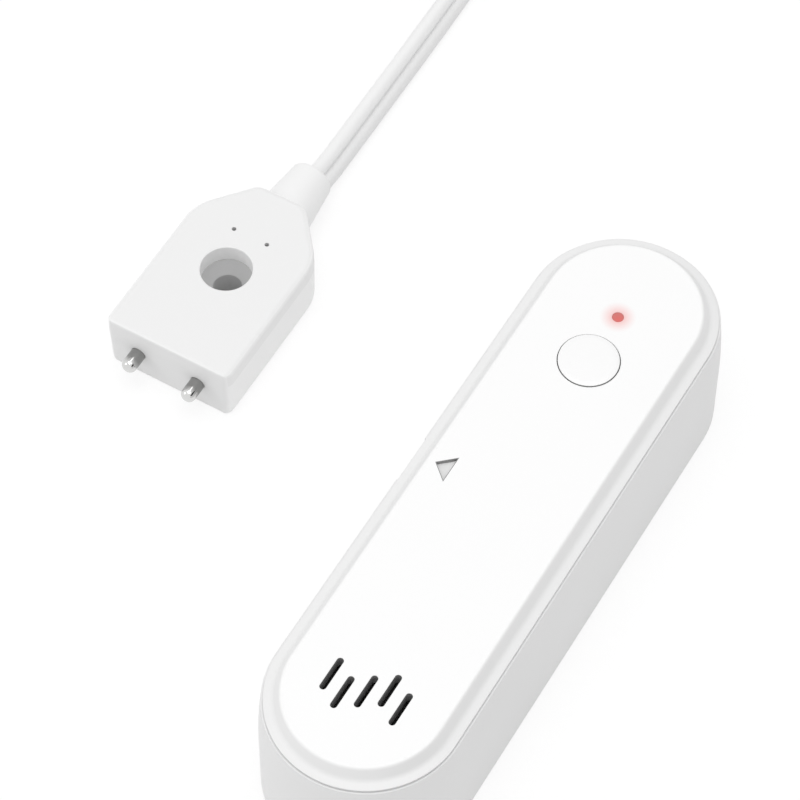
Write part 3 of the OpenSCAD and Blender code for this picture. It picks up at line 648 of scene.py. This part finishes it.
def union(tree: Tree, *shapes: bpy.types.Node) -> Socket:
    """Joins the shapes that some nodes make."""
    whole = add_node(tree, "GeometryNodeJoinGeometry")
    for shape in shapes:
        tree.links.new(shape.outputs[0], whole.inputs[0])
    return whole.outputs[0]


def grow(name: str, start: bpy.types.Mesh, fill: Callable[[Tree, bpy.types.Node], Socket], finish: Finish,
         values: dict) -> bpy.types.Object:
    """Grows a piece from a mesh by a Geometry Nodes tree, and keeps the result as a plain mesh.

    Args:
        name: the name of the piece.
        start: the mesh that the tree starts from.
        fill: makes the shape, given the tree and its input node.
        finish: the finish of the whole shape.
        values: the tree's named inputs.

    Returns:
        The piece, without a modifier.
    """
    tree = bpy.data.node_groups.new(name, "GeometryNodeTree")
    for way in ("INPUT", "OUTPUT"):
        tree.interface.new_socket("Geometry", in_out=way, socket_type="NodeSocketGeometry")
    values = {**values, "Finish": finish.material()}
    sockets = [tree.interface.new_socket(label, in_out="INPUT", socket_type=SOCKET_KINDS[type(value)])
               for label, value in values.items()]
    given = add_node(tree, "NodeGroupInput")
    whole = add_node(tree, "GeometryNodeRealizeInstances", {"Geometry": fill(tree, given)})
    smooth = add_node(tree, "GeometryNodeSetShadeSmooth", {"Geometry": whole.outputs[0]})
    dressed = add_node(tree, "GeometryNodeSetMaterial", {
        "Geometry": smooth.outputs[0], "Material": given.outputs["Finish"]})
    add_node(tree, "NodeGroupOutput", {0: dressed.outputs[0]})
    piece = put(name, start)
    modifier = piece.modifiers.new("grow", "NODES")
    modifier.node_group = tree
    for socket, value in zip(sockets, values.values()):
        modifier[socket.identifier] = value
    settle(piece)
    return piece


def points_mesh(name: str, points: list[Point], vectors: dict[str, list[Point]],
                joined: bool = False) -> bpy.types.Mesh:
    """Makes a mesh of points, as a line or loose, with vectors stored on them.

    Args:
        name: the mesh's name.
        points: the points in metres.
        vectors: named lists of one vector for each point.
        joined: True for a line through the points.

    Returns:
        The mesh.
    """
    mesh = bpy.data.meshes.new(name)
    edges = [(i, i + 1) for i in range(len(points) - 1)] if joined else []
    mesh.from_pydata(points, edges, [])
    for label, values in vectors.items():
        layer = mesh.attributes.new(label, "FLOAT_VECTOR", "POINT")
        layer.data.foreach_set("vector", [c for v in values for c in v])
    return mesh


def turned(profile: Line, at: Point, sides: int, axis: Axis = Axis.Z) -> bmesh.types.BMesh:
    """Turns a profile into a closed solid: a ring for each corner, or one point where it is on the axis.

    Args:
        profile: radius and height of each corner, from the axis and back to it, in millimetres.
        at: the foot of the axis in millimetres.
        sides: how many sides the circle has.
        axis: the direction of the heights, X or Z.

    Returns:
        The solid, in metres.
    """
    solid = bmesh.new()
    lay = Matrix.Rotation(math.pi / 2 if axis is Axis.X else 0.0, 3, "Y")
    rings = []
    for r, z in profile:
        angles = [math.tau * k / sides for k in range(sides if r else 1)]
        rings.append([solid.verts.new((lay @ Vector((r * math.cos(a), r * math.sin(a), z)) + Vector(at)) * MM)
                      for a in angles])
    for low, high in zip(rings, rings[1:]):
        for k in range(sides):
            (a, b), (d, c) = ((ring[k % len(ring)], ring[(k + 1) % len(ring)]) for ring in (low, high))
            solid.faces.new(tuple(dict.fromkeys((a, b, c, d))))
    return solid


def placed(name: str, solids: list[bmesh.types.BMesh]) -> bpy.types.Object:
    """Puts solids together in one new object.

    Args:
        name: the object's name.
        solids: the solids, which are used up.

    Returns:
        The object.
    """
    mesh = bpy.data.meshes.new(name)
    whole = bmesh.new()
    for solid in solids:
        part = bpy.data.meshes.new(name + "_part")
        solid.to_mesh(part)
        whole.from_mesh(part)
        solid.free()
        bpy.data.meshes.remove(part)
    whole.to_mesh(mesh)
    whole.free()
    return put(name, mesh)


def finished(piece: bpy.types.Object, finish: Finish, crease: float, flat_mm2: float = math.inf) -> None:
    """Shades a piece smooth, apart from its creases and the borders of its large flats, and dresses it.

    Args:
        piece: the piece.
        finish: the finish of its whole surface.
        crease: the angle in degrees from which an edge is sharp.
        flat_mm2: the area in square millimetres from which a face counts as a flat.
    """
    mesh = piece.data
    mesh.shade_smooth()
    mesh.set_sharp_from_angle(angle=math.radians(crease))
    number = {key: i for i, key in enumerate(mesh.edge_keys)}
    for face in mesh.polygons:
        if face.area > flat_mm2 * MM * MM:
            for key in face.edge_keys:
                mesh.edges[number[key]].use_edge_sharp = True
    mesh.materials.clear()
    mesh.materials.append(finish.material())


@dataclass
class Studio:
    """The camera at the photograph's angle, a pale floor, soft lamps and a white surround."""

    camera_at: Point = (-224.1, -115.4, 424.6)
    target: Point = (19.87, 27.73, 0.0)
    lens_mm: float = 152.76
    sensor_mm: float = 36.0
    clip: tuple[float, float] = (0.01, 50.0)
    floor_r: float = 6.0
    floor_colour: str = "#EDEDED"
    floor_shade: str = "#898989"
    floor_lift: float = 0.77
    hidden_r: float = 9.0
    surround: float = 0.64
    key_at: Point = (0.0, 0.0, 1.0)
    key_size: float = 0.8
    key_power: float = 3.8
    fill_at: Point = (-0.6, 0.75, 0.5)
    fill_size: float = 0.4
    fill_power: float = 1.0
    flag_at: Point = (0.05, -0.45, 0.24)
    flag_size: float = 0.9
    flag_height: float = 0.44
    flag_colour: str = "#2A2A2A"

    def build(self) -> None:
        """Makes the camera, the floor, the lamps and the world."""
        bpy.context.scene.view_settings.view_transform = "Standard"
        self.make_camera()
        self.make_floor()
        self.make_world()
        self.make_lamp("key_lamp", self.key_at, self.key_size, self.key_power)
        self.make_lamp("fill_lamp", self.fill_at, self.fill_size, self.fill_power)
        self.make_flag()

    def aim(self, thing: bpy.types.Object, at: Vector) -> None:
        """Moves a camera or a lamp to a point, looking at the object."""
        thing.location = at
        thing.rotation_euler = (Vector(self.target) * MM - at).to_track_quat("-Z", "Y").to_euler()

    def make_camera(self) -> None:
        """Makes the camera, without depth of field or shift."""
        lens = bpy.data.cameras.new("camera")
        lens.lens = self.lens_mm
        lens.sensor_width = self.sensor_mm
        lens.clip_start, lens.clip_end = self.clip
        camera = put("camera", lens)
        self.aim(camera, Vector(self.camera_at) * MM)
        bpy.context.scene.camera = camera

    def make_lamp(self, name: str, at: Point, size: float, power: float) -> None:
        """Makes one square soft lamp that looks at the object.

        Args:
            name: the lamp's name.
            at: its place in metres.
            size: its side in metres.
            power: its power in watts.
        """
        light = bpy.data.lights.new(name, "AREA")
        light.size = size
        light.energy = power
        self.aim(put(name, light), Vector(at))

    def seen(self, tree: Tree) -> Socket:
        """Gives 1 for what the camera, a mirror or clear plastic shows, and 0 for light that falls."""
        path = add_node(tree, "ShaderNodeLightPath").outputs
        mirror = calc(tree, "MAXIMUM", path["Is Glossy Ray"], path["Is Transmission Ray"])
        return calc(tree, "MAXIMUM", path["Is Camera Ray"], mirror)

    def card(self, name: str, corners: list[Point], material: bpy.types.Material) -> bpy.types.Object:
        """Makes a flat card with four corners, in metres."""
        mesh = bpy.data.meshes.new(name)
        mesh.from_pydata(corners, [], [(0, 1, 2, 3)])
        mesh.materials.append(material)
        return put(name, mesh)

    def make_floor(self) -> None:
        """Makes the floor: matt and pale, lifted to white except in shadow and under the screw hole."""
        material = blank("floor_matt_card")
        tree = material.node_tree
        seen = self.seen(tree)
        place = add_node(tree, "ShaderNodeTexCoord").outputs["Object"]
        bare = calc(tree, "GREATER_THAN", distance(tree, place, SCREW_AT), self.hidden_r * MM)
        lift = calc(tree, "MULTIPLY", calc(tree, "MULTIPLY", seen, bare), self.floor_lift)
        matt = add_node(tree, "ShaderNodeBsdfDiffuse", {
            "Color": blend(tree, seen, self.floor_colour, self.floor_shade)})
        glow = add_node(tree, "ShaderNodeEmission", {"Strength": lift})
        both = add_node(tree, "ShaderNodeAddShader", {0: matt.outputs[0], 1: glow.outputs[0]})
        behind = add_node(tree, "ShaderNodeNewGeometry").outputs["Backfacing"]
        clear = add_node(tree, "ShaderNodeBsdfTransparent")
        one_way = add_node(tree, "ShaderNodeMixShader", {0: behind, 1: both.outputs[0], 2: clear.outputs[0]})
        add_node(tree, "ShaderNodeOutputMaterial", {"Surface": one_way.outputs[0]})
        r = self.floor_r
        floor = self.card("floor", [(-r, -r, 0), (r, -r, 0), (r, r, 0), (-r, r, 0)], material)

    def make_flag(self) -> None:
        """Makes a dark card beside the set, which only mirroring surfaces show."""
        material = blank("flag_black_felt")
        felt = add_node(material.node_tree, "ShaderNodeBsdfDiffuse", {"Color": linear(self.flag_colour)})
        add_node(material.node_tree, "ShaderNodeOutputMaterial", {"Surface": felt.outputs[0]})
        at = Vector(self.flag_at)
        across = Vector((-at.y, at.x, 0.0)).normalized() * self.flag_size / 2
        up = Vector((0.0, 0.0, self.flag_height / 2))
        corners = [at - across - up, at + across - up, at + across + up, at - across + up]
        flag = self.card("flag", corners, material)
        flag.visible_camera = flag.visible_diffuse = flag.visible_shadow = False

    def make_world(self) -> None:
        """Makes the surround: white to look at, and a plain level of light to fall on the object."""
        world = bpy.data.worlds.new("studio_surround")
        world.use_nodes = True
        tree = world.node_tree
        tree.nodes.clear()
        level = ramp(tree, self.seen(tree), 0.0, 1.0, self.surround, 1.0)
        back = add_node(tree, "ShaderNodeBackground", {"Color": linear("#FFFFFF"), "Strength": level})
        add_node(tree, "ShaderNodeOutputWorld", {"Surface": back.outputs[0]})
        bpy.context.scene.world = world


@dataclass
class Lead:
    """The flat two-core lead from the probe's boot to the plug, put away in a tied coil."""

    # Each point has x, y and z in millimetres and the roll of the section in degrees.
    route: tuple[tuple[float, float, float, float], ...] = (
        (45.9, 58.35, 3.7, 52), (50, 58.38, 3.1, 52), (55, 58.53, 2.7, 52), (60, 58.65, 2.45, 52),
        (66, 58.75, 2.3, 52), (74, 58.84, 2.2, 52), (82, 58.92, 2.18, 52), (91, 59.05, 2.2, 54),
        (95, 59.1, 2.3, 58), (100, 59.1, 2.6, 68), (105, 59.05, 3, 80), (109, 59, 3.35, 88),
        (113, 59, 3.4, 90))
    width: float = 4.8
    thickness: float = 2.4
    web_share: float = 0.34
    centre: tuple[float, float] = (115.0, 86.5)
    coil_r: float = 27.5
    pitch: float = 3.4
    loops: float = 6.5
    low_z: float = 3.4
    step: float = 5.7
    climb: float = 0.5
    tail: float = 14.0
    plug_z: float = 3.6
    plug_gap: float = 4.8
    rings_per_span: int = 6
    rings_per_loop: int = 60
    tail_rings: int = 16
    lobe_sides: int = 17
    lobe_open: float = 160.0
    on_edge: float = 90.0

    def ease(self, t: float) -> float:
        """Gives a smooth step from 0 to 1."""
        c = min(max(t, 0.0), 1.0)
        return c * c * (3 - 2 * c)

    def free_stretch(self) -> list[tuple[float, ...]]:
        """Draws a smooth line through the route's points.

        Returns:
            Points of x, y, z and roll, in millimetres and degrees.
        """
        ends = [self.route[0], *self.route, self.route[-1]]
        line = []
        for a, b, c, d in zip(ends, ends[1:], ends[2:], ends[3:]):
            for i in range(self.rings_per_span):
                t = i / self.rings_per_span
                line.append(tuple(
                    0.5 * (2 * q + (r - p) * t + (2 * p - 5 * q + 4 * r - s) * t ** 2
                           + (3 * q - p - 3 * r + s) * t ** 3)
                    for p, q, r, s in zip(a, b, c, d)))
        return line

    def coil(self) -> list[tuple[float, ...]]:
        """Winds the loops: in along the lower layer, up in half a loop, and out along the upper one.

        Returns:
            Points of x, y, z and roll, from the first loop to the plug.
        """
        line = [self.route[-1]]
        x, y = self.centre
        for i in range(round(self.rings_per_loop * self.loops) + 1):
            t = i / self.rings_per_loop
            r = self.coil_r - self.pitch * min(t, self.loops - t)
            z = self.low_z + self.step * self.ease((t - self.loops / 2) / self.climb + 0.5)
            angle = math.tau * t
            line.append((x + r * math.sin(angle), y - r * math.cos(angle), z, self.on_edge))
        top, y = self.low_z + self.step, y + self.coil_r
        for i in range(1, self.tail_rings + 1):
            t = i / self.tail_rings
            line.append((x - self.tail * t, y, top + (self.plug_z - top) * self.ease(t), self.on_edge))
        line.append((x - self.tail - self.plug_gap, y, self.plug_z, self.on_edge))
        return line

    def section(self) -> bpy.types.Object:
        """Draws the lead's section: two round cores joined by a thin web.

        Returns:
            A closed curve, width along X.
        """
        r = self.thickness / 2
        off = self.width / 2 - r
        web = self.thickness * self.web_share / 2
        angles = [math.radians(-self.lobe_open + 2 * self.lobe_open * i / (self.lobe_sides - 1))
                  for i in range(self.lobe_sides)]
        half = [(off + r * math.cos(a), r * math.sin(a)) for a in angles] + [(0.0, web)]
        outline = half + [(-x, -y) for x, y in half]
        curve = bpy.data.curves.new("lead_section", "CURVE")
        spline = curve.splines.new("POLY")
        spline.points.add(len(outline) - 1)
        for point, (x, y) in zip(spline.points, outline):
            point.co = (x * MM, y * MM, 0.0, 1.0)
        spline.use_cyclic_u = True
        return put("lead_section", curve)

    def carry(self, tree: Tree, given: bpy.types.Node) -> Socket:
        """Carries the section along the line by the line's own width direction.

        Args:
            tree: the tree.
            given: its input node.

        Returns:
            The shape.
        """
        line = add_node(tree, "GeometryNodeMeshToCurve", {"Mesh": given.outputs["Geometry"]})
        wide = add_node(tree, "GeometryNodeInputNamedAttribute", {"Name": "wide"}, data_type="FLOAT_VECTOR")
        rolled = add_node(tree, "GeometryNodeSetCurveNormal", {
            "Curve": line.outputs[0], "Normal": wide.outputs["Attribute"]}, mode="FREE")
        shape = add_node(tree, "GeometryNodeObjectInfo", {"Object": given.outputs["Section"]})
        way = add_node(tree, "GeometryNodeSplineParameter").outputs
        along, girth = (add_node(tree, "GeometryNodeStoreNamedAttribute", {
            "Geometry": curve, "Name": name, "Value": value}, data_type="FLOAT").outputs[0]
            for curve, name, value in ((rolled.outputs[0], "along", way["Length"]),
                                       (shape.outputs["Geometry"], "girth", way["Factor"])))
        return add_node(tree, "GeometryNodeCurveToMesh", {
            "Curve": along, "Profile Curve": girth, "Fill Caps": True}).outputs[0]

    def build(self) -> None:
        line = self.free_stretch() + self.coil()
        path = [Vector(p[:3]) * MM for p in line]
        wide = []
        for i, p in enumerate(line):
            along = (path[min(i + 1, len(path) - 1)] - path[max(i - 1, 0)]).normalized()
            side = Vector((0, 0, 1)).cross(along).normalized()
            roll = math.radians(p[3])
            wide.append(side * math.cos(roll) + along.cross(side) * math.sin(roll))
        section = self.section()
        points = [tuple(p) for p in path]
        start = points_mesh("lead_cord", points, {"wide": [tuple(v) for v in wide]}, joined=True)
        cord = grow("lead_cord", start, self.carry, LEAD_PVC, {"Section": section})
        bpy.data.objects.remove(section)
        keep(cord, Body.UNIT, "lead_white", "lead", "lead_coil")
        carried = {"coil_tie": TIE_STRAP, "plug_grip": BOOT_PVC, "plug_sleeve": PIN_NICKEL,
                   "plug_insulator": SOCKET_BLACK, "plug_tip": PIN_NICKEL}
        dress(carried)


@dataclass
class Probe:
    """The floor probe: moulded body, two pins and the boot round the lead."""

    half_w: float = 10.85
    height: float = 10.5
    straight: float = 25.1
    length: float = 33.1
    half_neck: float = 4.2
    draft: float = 1.0
    low_r: float = 1.2
    top_r: float = 0.9
    front_r: float = 0.5
    front_corner_r: float = 1.3
    shoulder_r: float = 7.5
    neck_r: float = 2.6
    arc_points: int = 12
    edge_steps: int = 7
    # Edges from this angle in degrees, and the borders of flats from this area, stay sharp.
    crease: float = 35.0
    flat_mm2: float = 12.0
    # Lines of radius and height, each turned into a cutter.
    screw_line: Line = (
        (0, -1), (2.25, -1), (2.25, 5.75), (4, 7.5), (4, 10.38), (4.15, 10.53), (4.15, 12), (0, 12))
    vent_line: Line = ((0, 8), (0.35, 8), (0.35, 12), (0, 12))
    seat_line: Line = ((0, 0), (1.22, 0), (1.22, 7.5), (0, 7.5))
    seat_x: float = 3.7
    hole_sides: int = 64
    pins: tuple[tuple[str, Point], ...] = (("left", (0.8, 63.975, 5.25)), ("right", (0.8, 53.525, 5.25)))
    pin_r: float = 1.2
    pin_dome: float = 1.0
    pin_l: float = 10.4
    pin_foot: float = 0.2
    dome_steps: int = 14

    def make_pins(self) -> None:
        """Turns the two pins, with a smooth dome on each tip."""
        bends = [math.pi / 2 * k / self.dome_steps for k in range(self.dome_steps + 1)]
        r, dome, end, foot = self.pin_r, self.pin_dome, self.pin_l, self.pin_foot
        line = [(0.0, 0.0), *((r - dome + dome * math.sin(a), dome * (1 - math.cos(a))) for a in bends),
                (r, end - foot), (r - foot, end), (0.0, end)]
        for side, at in self.pins:
            pin = placed("turned_pin_" + side, [turned(line, at, self.hole_sides, Axis.X)])
            finished(pin, PROBE_NICKEL, TURNED_CREASE)
            keep(pin, Body.UNIT, "pin_nickel", "probe_pin_" + side)

    def tuck(self, depth: float, radius: float) -> float:
        """Gives how far a rounded edge draws in, at a depth below its face."""
        return radius - math.sqrt(max(radius ** 2 - (radius - depth) ** 2, 0.0)) if depth < radius else 0.0

    def outline(self, z: float) -> list[Vector]:
        """Draws the case's plan at a height, drawn in by the draft and the rounded edges.

        Args:
            z: the height in millimetres.

        Returns:
            The points, counterclockwise.
        """
        lean = math.tan(math.radians(self.draft)) * abs(z - PARTING_Z)
        side = max(self.tuck(z, self.low_r), self.tuck(self.height - z, self.top_r))
        front = max(self.tuck(z, self.front_r), self.tuck(self.height - z, self.front_r)) + lean
        insets = [side + lean, side + lean, side, side + lean, side + lean, front]
        w, n = self.half_w, self.half_neck
        points = [Vector((x, y, 0.0)) for x, y in (
            (0, -w), (self.straight, -w), (self.length, -n), (self.length, n), (self.straight, w), (0, w))]
        ways = [(b - a).normalized() for a, b in zip(points, points[1:] + points[:1])]
        feet = [p + Vector((-d.y, d.x, 0.0)) * inset for p, d, inset in zip(points, ways, insets)]
        radii = [self.front_corner_r, self.shoulder_r, self.neck_r]
        line = []
        for i, radius in enumerate(radii + radii[::-1]):
            back, ahead = ways[i - 1], ways[i]
            cross = back.cross(ahead).z
            tip = feet[i - 1] + back * ((feet[i] - feet[i - 1]).cross(ahead).z / cross)
            turn = back.angle(ahead)
            r = max(radius - side, self.front_r)
            start = tip - back * r * math.tan(turn / 2)
            middle = start + Vector((-back.y, back.x, 0.0)) * r
            for k in range(self.arc_points):
                spin = Matrix.Rotation(turn * k / (self.arc_points - 1), 3, "Z")
                line.append(middle + spin @ (start - middle))
        return line

    def levels(self) -> list[float]:
        """Gives the heights of the case's rings, close together at its rounded edges."""
        bends = [1 - math.cos(math.pi / 2 * k / self.edge_steps) for k in range(self.edge_steps + 1)]
        return [*(b * self.low_r for b in bends), PARTING_Z,
                *(self.height - b * self.top_r for b in reversed(bends))]

    def make_case(self) -> None:
        """Moulds the case: its drafted, rounded form less the holes for screw, pins and air."""
        solid = bmesh.new()
        rings = [[solid.verts.new((Vector((FRONT_X, MIDDLE_Y, 0.0)) + p + Vector((0.0, 0.0, z))) * MM)
                  for p in self.outline(z)] for z in self.levels()]
        for low, high in zip(rings, rings[1:]):
            for a, b, c, d in zip(low, low[1:] + low[:1], high[1:] + high[:1], high):
                solid.faces.new((a, b, c, d))
        solid.faces.new(rings[0][::-1])
        solid.faces.new(rings[-1])
        case = placed("probe_case", [solid])
        holes = [turned(self.screw_line, SCREW_AT, self.hole_sides)]
        holes += [turned(self.vent_line, at, self.hole_sides // 2) for at in VENTS_AT]
        holes += [turned(self.seat_line, (self.seat_x, y, z), self.hole_sides, Axis.X)
                  for _, (_, y, z) in self.pins]
        cutter = placed("probe_holes", holes)
        cut = case.modifiers.new("holes", "BOOLEAN")
        cut.operation, cut.solver, cut.object = "DIFFERENCE", "EXACT", cutter
        settle(case)
        bpy.data.objects.remove(cutter)
        finished(case, PROBE_ABS, self.crease, self.flat_mm2)
        keep(case, Body.UNIT, "probe_white", "probe_body")

    def build(self) -> None:
        """Moulds the case, turns the pins and dresses the boot."""
        self.make_case()
        self.make_pins()
        dress({"strain_relief": BOOT_PVC})


@dataclass
class Shell:
    """The unit's outside: housing, cover, seal, pad, button and light."""

    cap_at: Point = (26.0, 0.0, 0.0)
    cap_line: Line = (
        (0, 19.6), (1.7, 19.6), (1.7, 20.55), (5.5, 20.55), (5.5, 21.15), (4.4, 21.15), (4.4, 22.0),
        (4.46, 22.1), (4.46, 23.4), (4.44, 23.45), (4.39, 23.475), (3.6, 23.495), (2.5, 23.518),
        (1.2, 23.54), (0, 23.55))
    cap_sides: int = 128

    def build(self) -> None:
        """Turns the button's cap and dresses the outside."""
        cap = placed("button_crown", [turned(self.cap_line, self.cap_at, self.cap_sides)])
        finished(cap, BUTTON_ABS, TURNED_CREASE)
        keep(cap, Body.BUTTON, "button_white", "button_cap")
        dress({"lower_housing": SHELL_ABS, "top_cover": COVER_ABS, "cover_seal": SEAL_RUBBER,
               "mounting_pad": PAD_FOAM, "light_pipe": LIGHT_RED})


@dataclass
class Sounder:
    """The piezo sounder under the slots, and the woven mesh that keeps dust out of it."""

    centre: Point = (-36.4, 0.0, 21.05)
    radius: float = 8.15
    pitch: float = 0.5
    wire_r: float = 0.07
    wave: float = 0.07
    points_per_pitch: int = 4
    wire_sides: int = 5
    rim_sides: int = 96

    def weave(self, tree: Tree, given: bpy.types.Node) -> Socket:
        """Weaves straight wires over and under each other inside a rim.

        Args:
            tree: the tree.
            given: its input node.

        Returns:
            The shape.
        """
        size = given.outputs
        wire = add_node(tree, "GeometryNodeCurvePrimitiveLine", {
            "Start": vector_of(tree, X=calc(tree, "MULTIPLY", size["Radius"], -1.0)),
            "End": vector_of(tree, X=size["Radius"])})
        fine = add_node(tree, "GeometryNodeResampleCurve", {"Curve": wire.outputs[0], "Count": size["Steps"]})
        reach = calc(tree, "MULTIPLY", calc(tree, "SUBTRACT", size["Wires"], 1.0), size["Pitch"])
        places = add_node(tree, "GeometryNodeMeshLine", {
            "Count": size["Wires"], "Start Location": vector_of(tree, Y=calc(tree, "MULTIPLY", reach, -0.5)),
            "Offset": vector_of(tree, Y=size["Pitch"])}, mode="OFFSET")
        row = add_node(tree, "GeometryNodeInstanceOnPoints", {
            "Points": places.outputs[0], "Instance": fine.outputs[0]})
        row = add_node(tree, "GeometryNodeRealizeInstances", {"Geometry": row.outputs[0]})
        here = add_node(tree, "GeometryNodeInputPosition").outputs[0]
        turns = [calc(tree, "DIVIDE", part, size["Pitch"]) for part in axes_of(tree, here)[:2]]
        waves = [calc(tree, "COSINE", calc(tree, "MULTIPLY", turn, math.pi)) for turn in turns]
        lift = calc(tree, "MULTIPLY", calc(tree, "MULTIPLY", *waves), size["Wave"])
        warp = add_node(tree, "GeometryNodeSetPosition", {
            "Geometry": row.outputs[0], "Offset": vector_of(tree, Z=lift)})
        weft = add_node(tree, "GeometryNodeTransform", {
            "Geometry": warp.outputs[0], "Rotation": (math.pi, 0.0, math.pi / 2)})
        away = add_node(tree, "ShaderNodeVectorMath", {0: here}, operation="LENGTH").outputs["Value"]
        trimmed = add_node(tree, "GeometryNodeDeleteGeometry", {
            "Geometry": union(tree, warp, weft),
            "Selection": calc(tree, "GREATER_THAN", away, size["Radius"])}, domain="POINT")
        thread = add_node(tree, "GeometryNodeCurvePrimitiveCircle", {
            "Resolution": size["Sides"], "Radius": size["Wire radius"]})
        drawn = add_node(tree, "GeometryNodeCurveToMesh", {
            "Curve": trimmed.outputs[0], "Profile Curve": thread.outputs[0], "Fill Caps": True})
        ring = add_node(tree, "GeometryNodeCurvePrimitiveCircle", {
            "Resolution": size["Rim sides"],
            "Radius": calc(tree, "SUBTRACT", size["Radius"], size["Wire radius"])})
        rim = add_node(tree, "GeometryNodeCurveToMesh", {
            "Curve": ring.outputs[0], "Profile Curve": thread.outputs[0]})
        return union(tree, drawn, rim)

    def build(self) -> None:
        """Weaves the mesh in its place and dresses the sounder."""
        rows = 2 * int(self.radius / self.pitch)
        mesh = grow("acoustic_weave", points_mesh("acoustic_weave", [], {}), self.weave, WEAVE_BLACK, {
            "Radius": self.radius * MM, "Pitch": self.pitch * MM, "Wire radius": self.wire_r * MM,
            "Wave": self.wave * MM, "Wires": rows + 1, "Steps": rows * self.points_per_pitch + 1,
            "Sides": self.wire_sides, "Rim sides": self.rim_sides})
        for vertex in mesh.data.vertices:
            vertex.co += Vector(self.centre) * MM
        keep(mesh, Body.COVER, "mesh_black", "grille_mesh")
        dress({"sounder_foam": FOAM_BLACK, "sounder_case": SOUNDER_CASE, "sounder_disc": SOUNDER_BRASS})


@dataclass
class PowerBay:
    """The two dry cells, their contact plates and the conical springs."""

    springs_at: tuple[Point, ...] = ((-27.5, 5.6, 7.55), (20.2, -5.6, 7.55))
    wire_r: float = 0.3
    gap: float = 0.05
    length: float = 3.2
    turns: float = 2.0
    root_r: float = 2.8
    tip_r: float = 1.6
    rings: int = 40
    wire_sides: int = 12

    def wind(self, tree: Tree, given: bpy.types.Node) -> Socket:
        """Sets a conical spring at each point, along the point's own direction.

        Args:
            tree: the tree.
            given: its input node.

        Returns:
            The shape.
        """
        size = given.outputs
        spiral = add_node(tree, "GeometryNodeCurveSpiral", {
            "Resolution": size["Rings"], "Rotations": size["Turns"], "Start Radius": size["Root radius"],
            "End Radius": size["Tip radius"], "Height": size["Run"]})
        wire = add_node(tree, "GeometryNodeCurvePrimitiveCircle", {
            "Resolution": size["Sides"], "Radius": size["Wire radius"]})
        spring = add_node(tree, "GeometryNodeCurveToMesh", {
            "Curve": spiral.outputs[0], "Profile Curve": wire.outputs[0], "Fill Caps": True})
        facing = add_node(tree, "GeometryNodeInputNamedAttribute", {
            "Name": "facing"}, data_type="FLOAT_VECTOR")
        turn = add_node(tree, "FunctionNodeEulerToRotation", {0: facing.outputs["Attribute"]})
        both = add_node(tree, "GeometryNodeInstanceOnPoints", {
            "Points": size["Geometry"], "Instance": spring.outputs[0], "Rotation": turn.outputs[0]})
        return both.outputs[0]

    def build(self) -> None:
        """Winds the springs and dresses the bay."""
        lift = self.gap + self.wire_r
        ways = [1 if x < 0 else -1 for x, _, _ in self.springs_at]
        places = [((x + w * lift) * MM, y * MM, z * MM) for (x, y, z), w in zip(self.springs_at, ways)]
        facing = [(0.0, w * math.pi / 2, 0.0) for w in ways]
        start = points_mesh("battery_springs", places, {"facing": facing})
        springs = grow("battery_springs", start, self.wind, CONTACT_NICKEL, {
            "Turns": self.turns, "Root radius": self.root_r * MM, "Tip radius": self.tip_r * MM,
            "Run": (self.length - 2 * lift) * MM, "Wire radius": self.wire_r * MM, "Rings": self.rings,
            "Sides": self.wire_sides})
        keep(springs, Body.UNIT, "contact_metal", "contact_springs")
        dress({"contact_plates": CONTACT_NICKEL, "battery_cell_left": CELL_LEFT,
               "battery_cell_right": CELL_RIGHT})


class Electronics:
    """The circuit board with its switch, lamp, radio can, chips, screws and the probe's socket."""

    def build(self) -> None:
        """Dresses the board and what is on it."""
        dress({"main_board": BOARD_GREEN, "board_screws": CONTACT_NICKEL, "board_chips": CHIP_EPOXY,
               "radio_shield": SHIELD_TIN, "switch_body": SWITCH_GREY, "switch_plunger": PLUNGER_BLACK,
               "status_led": LAMP_EPOXY, "jack_socket": SOCKET_BLACK, "jack_contact": SOUNDER_BRASS})


def main() -> None:
    """Builds the studio and the sub-assemblies in order."""
    logging.basicConfig(level=logging.INFO, format="%(name)s: %(message)s")
    for assembly in (Studio(), Lead(), Probe(), Shell(), Sounder(), PowerBay(), Electronics()):
        assembly.build()


if __name__ == "__main__":
    main()
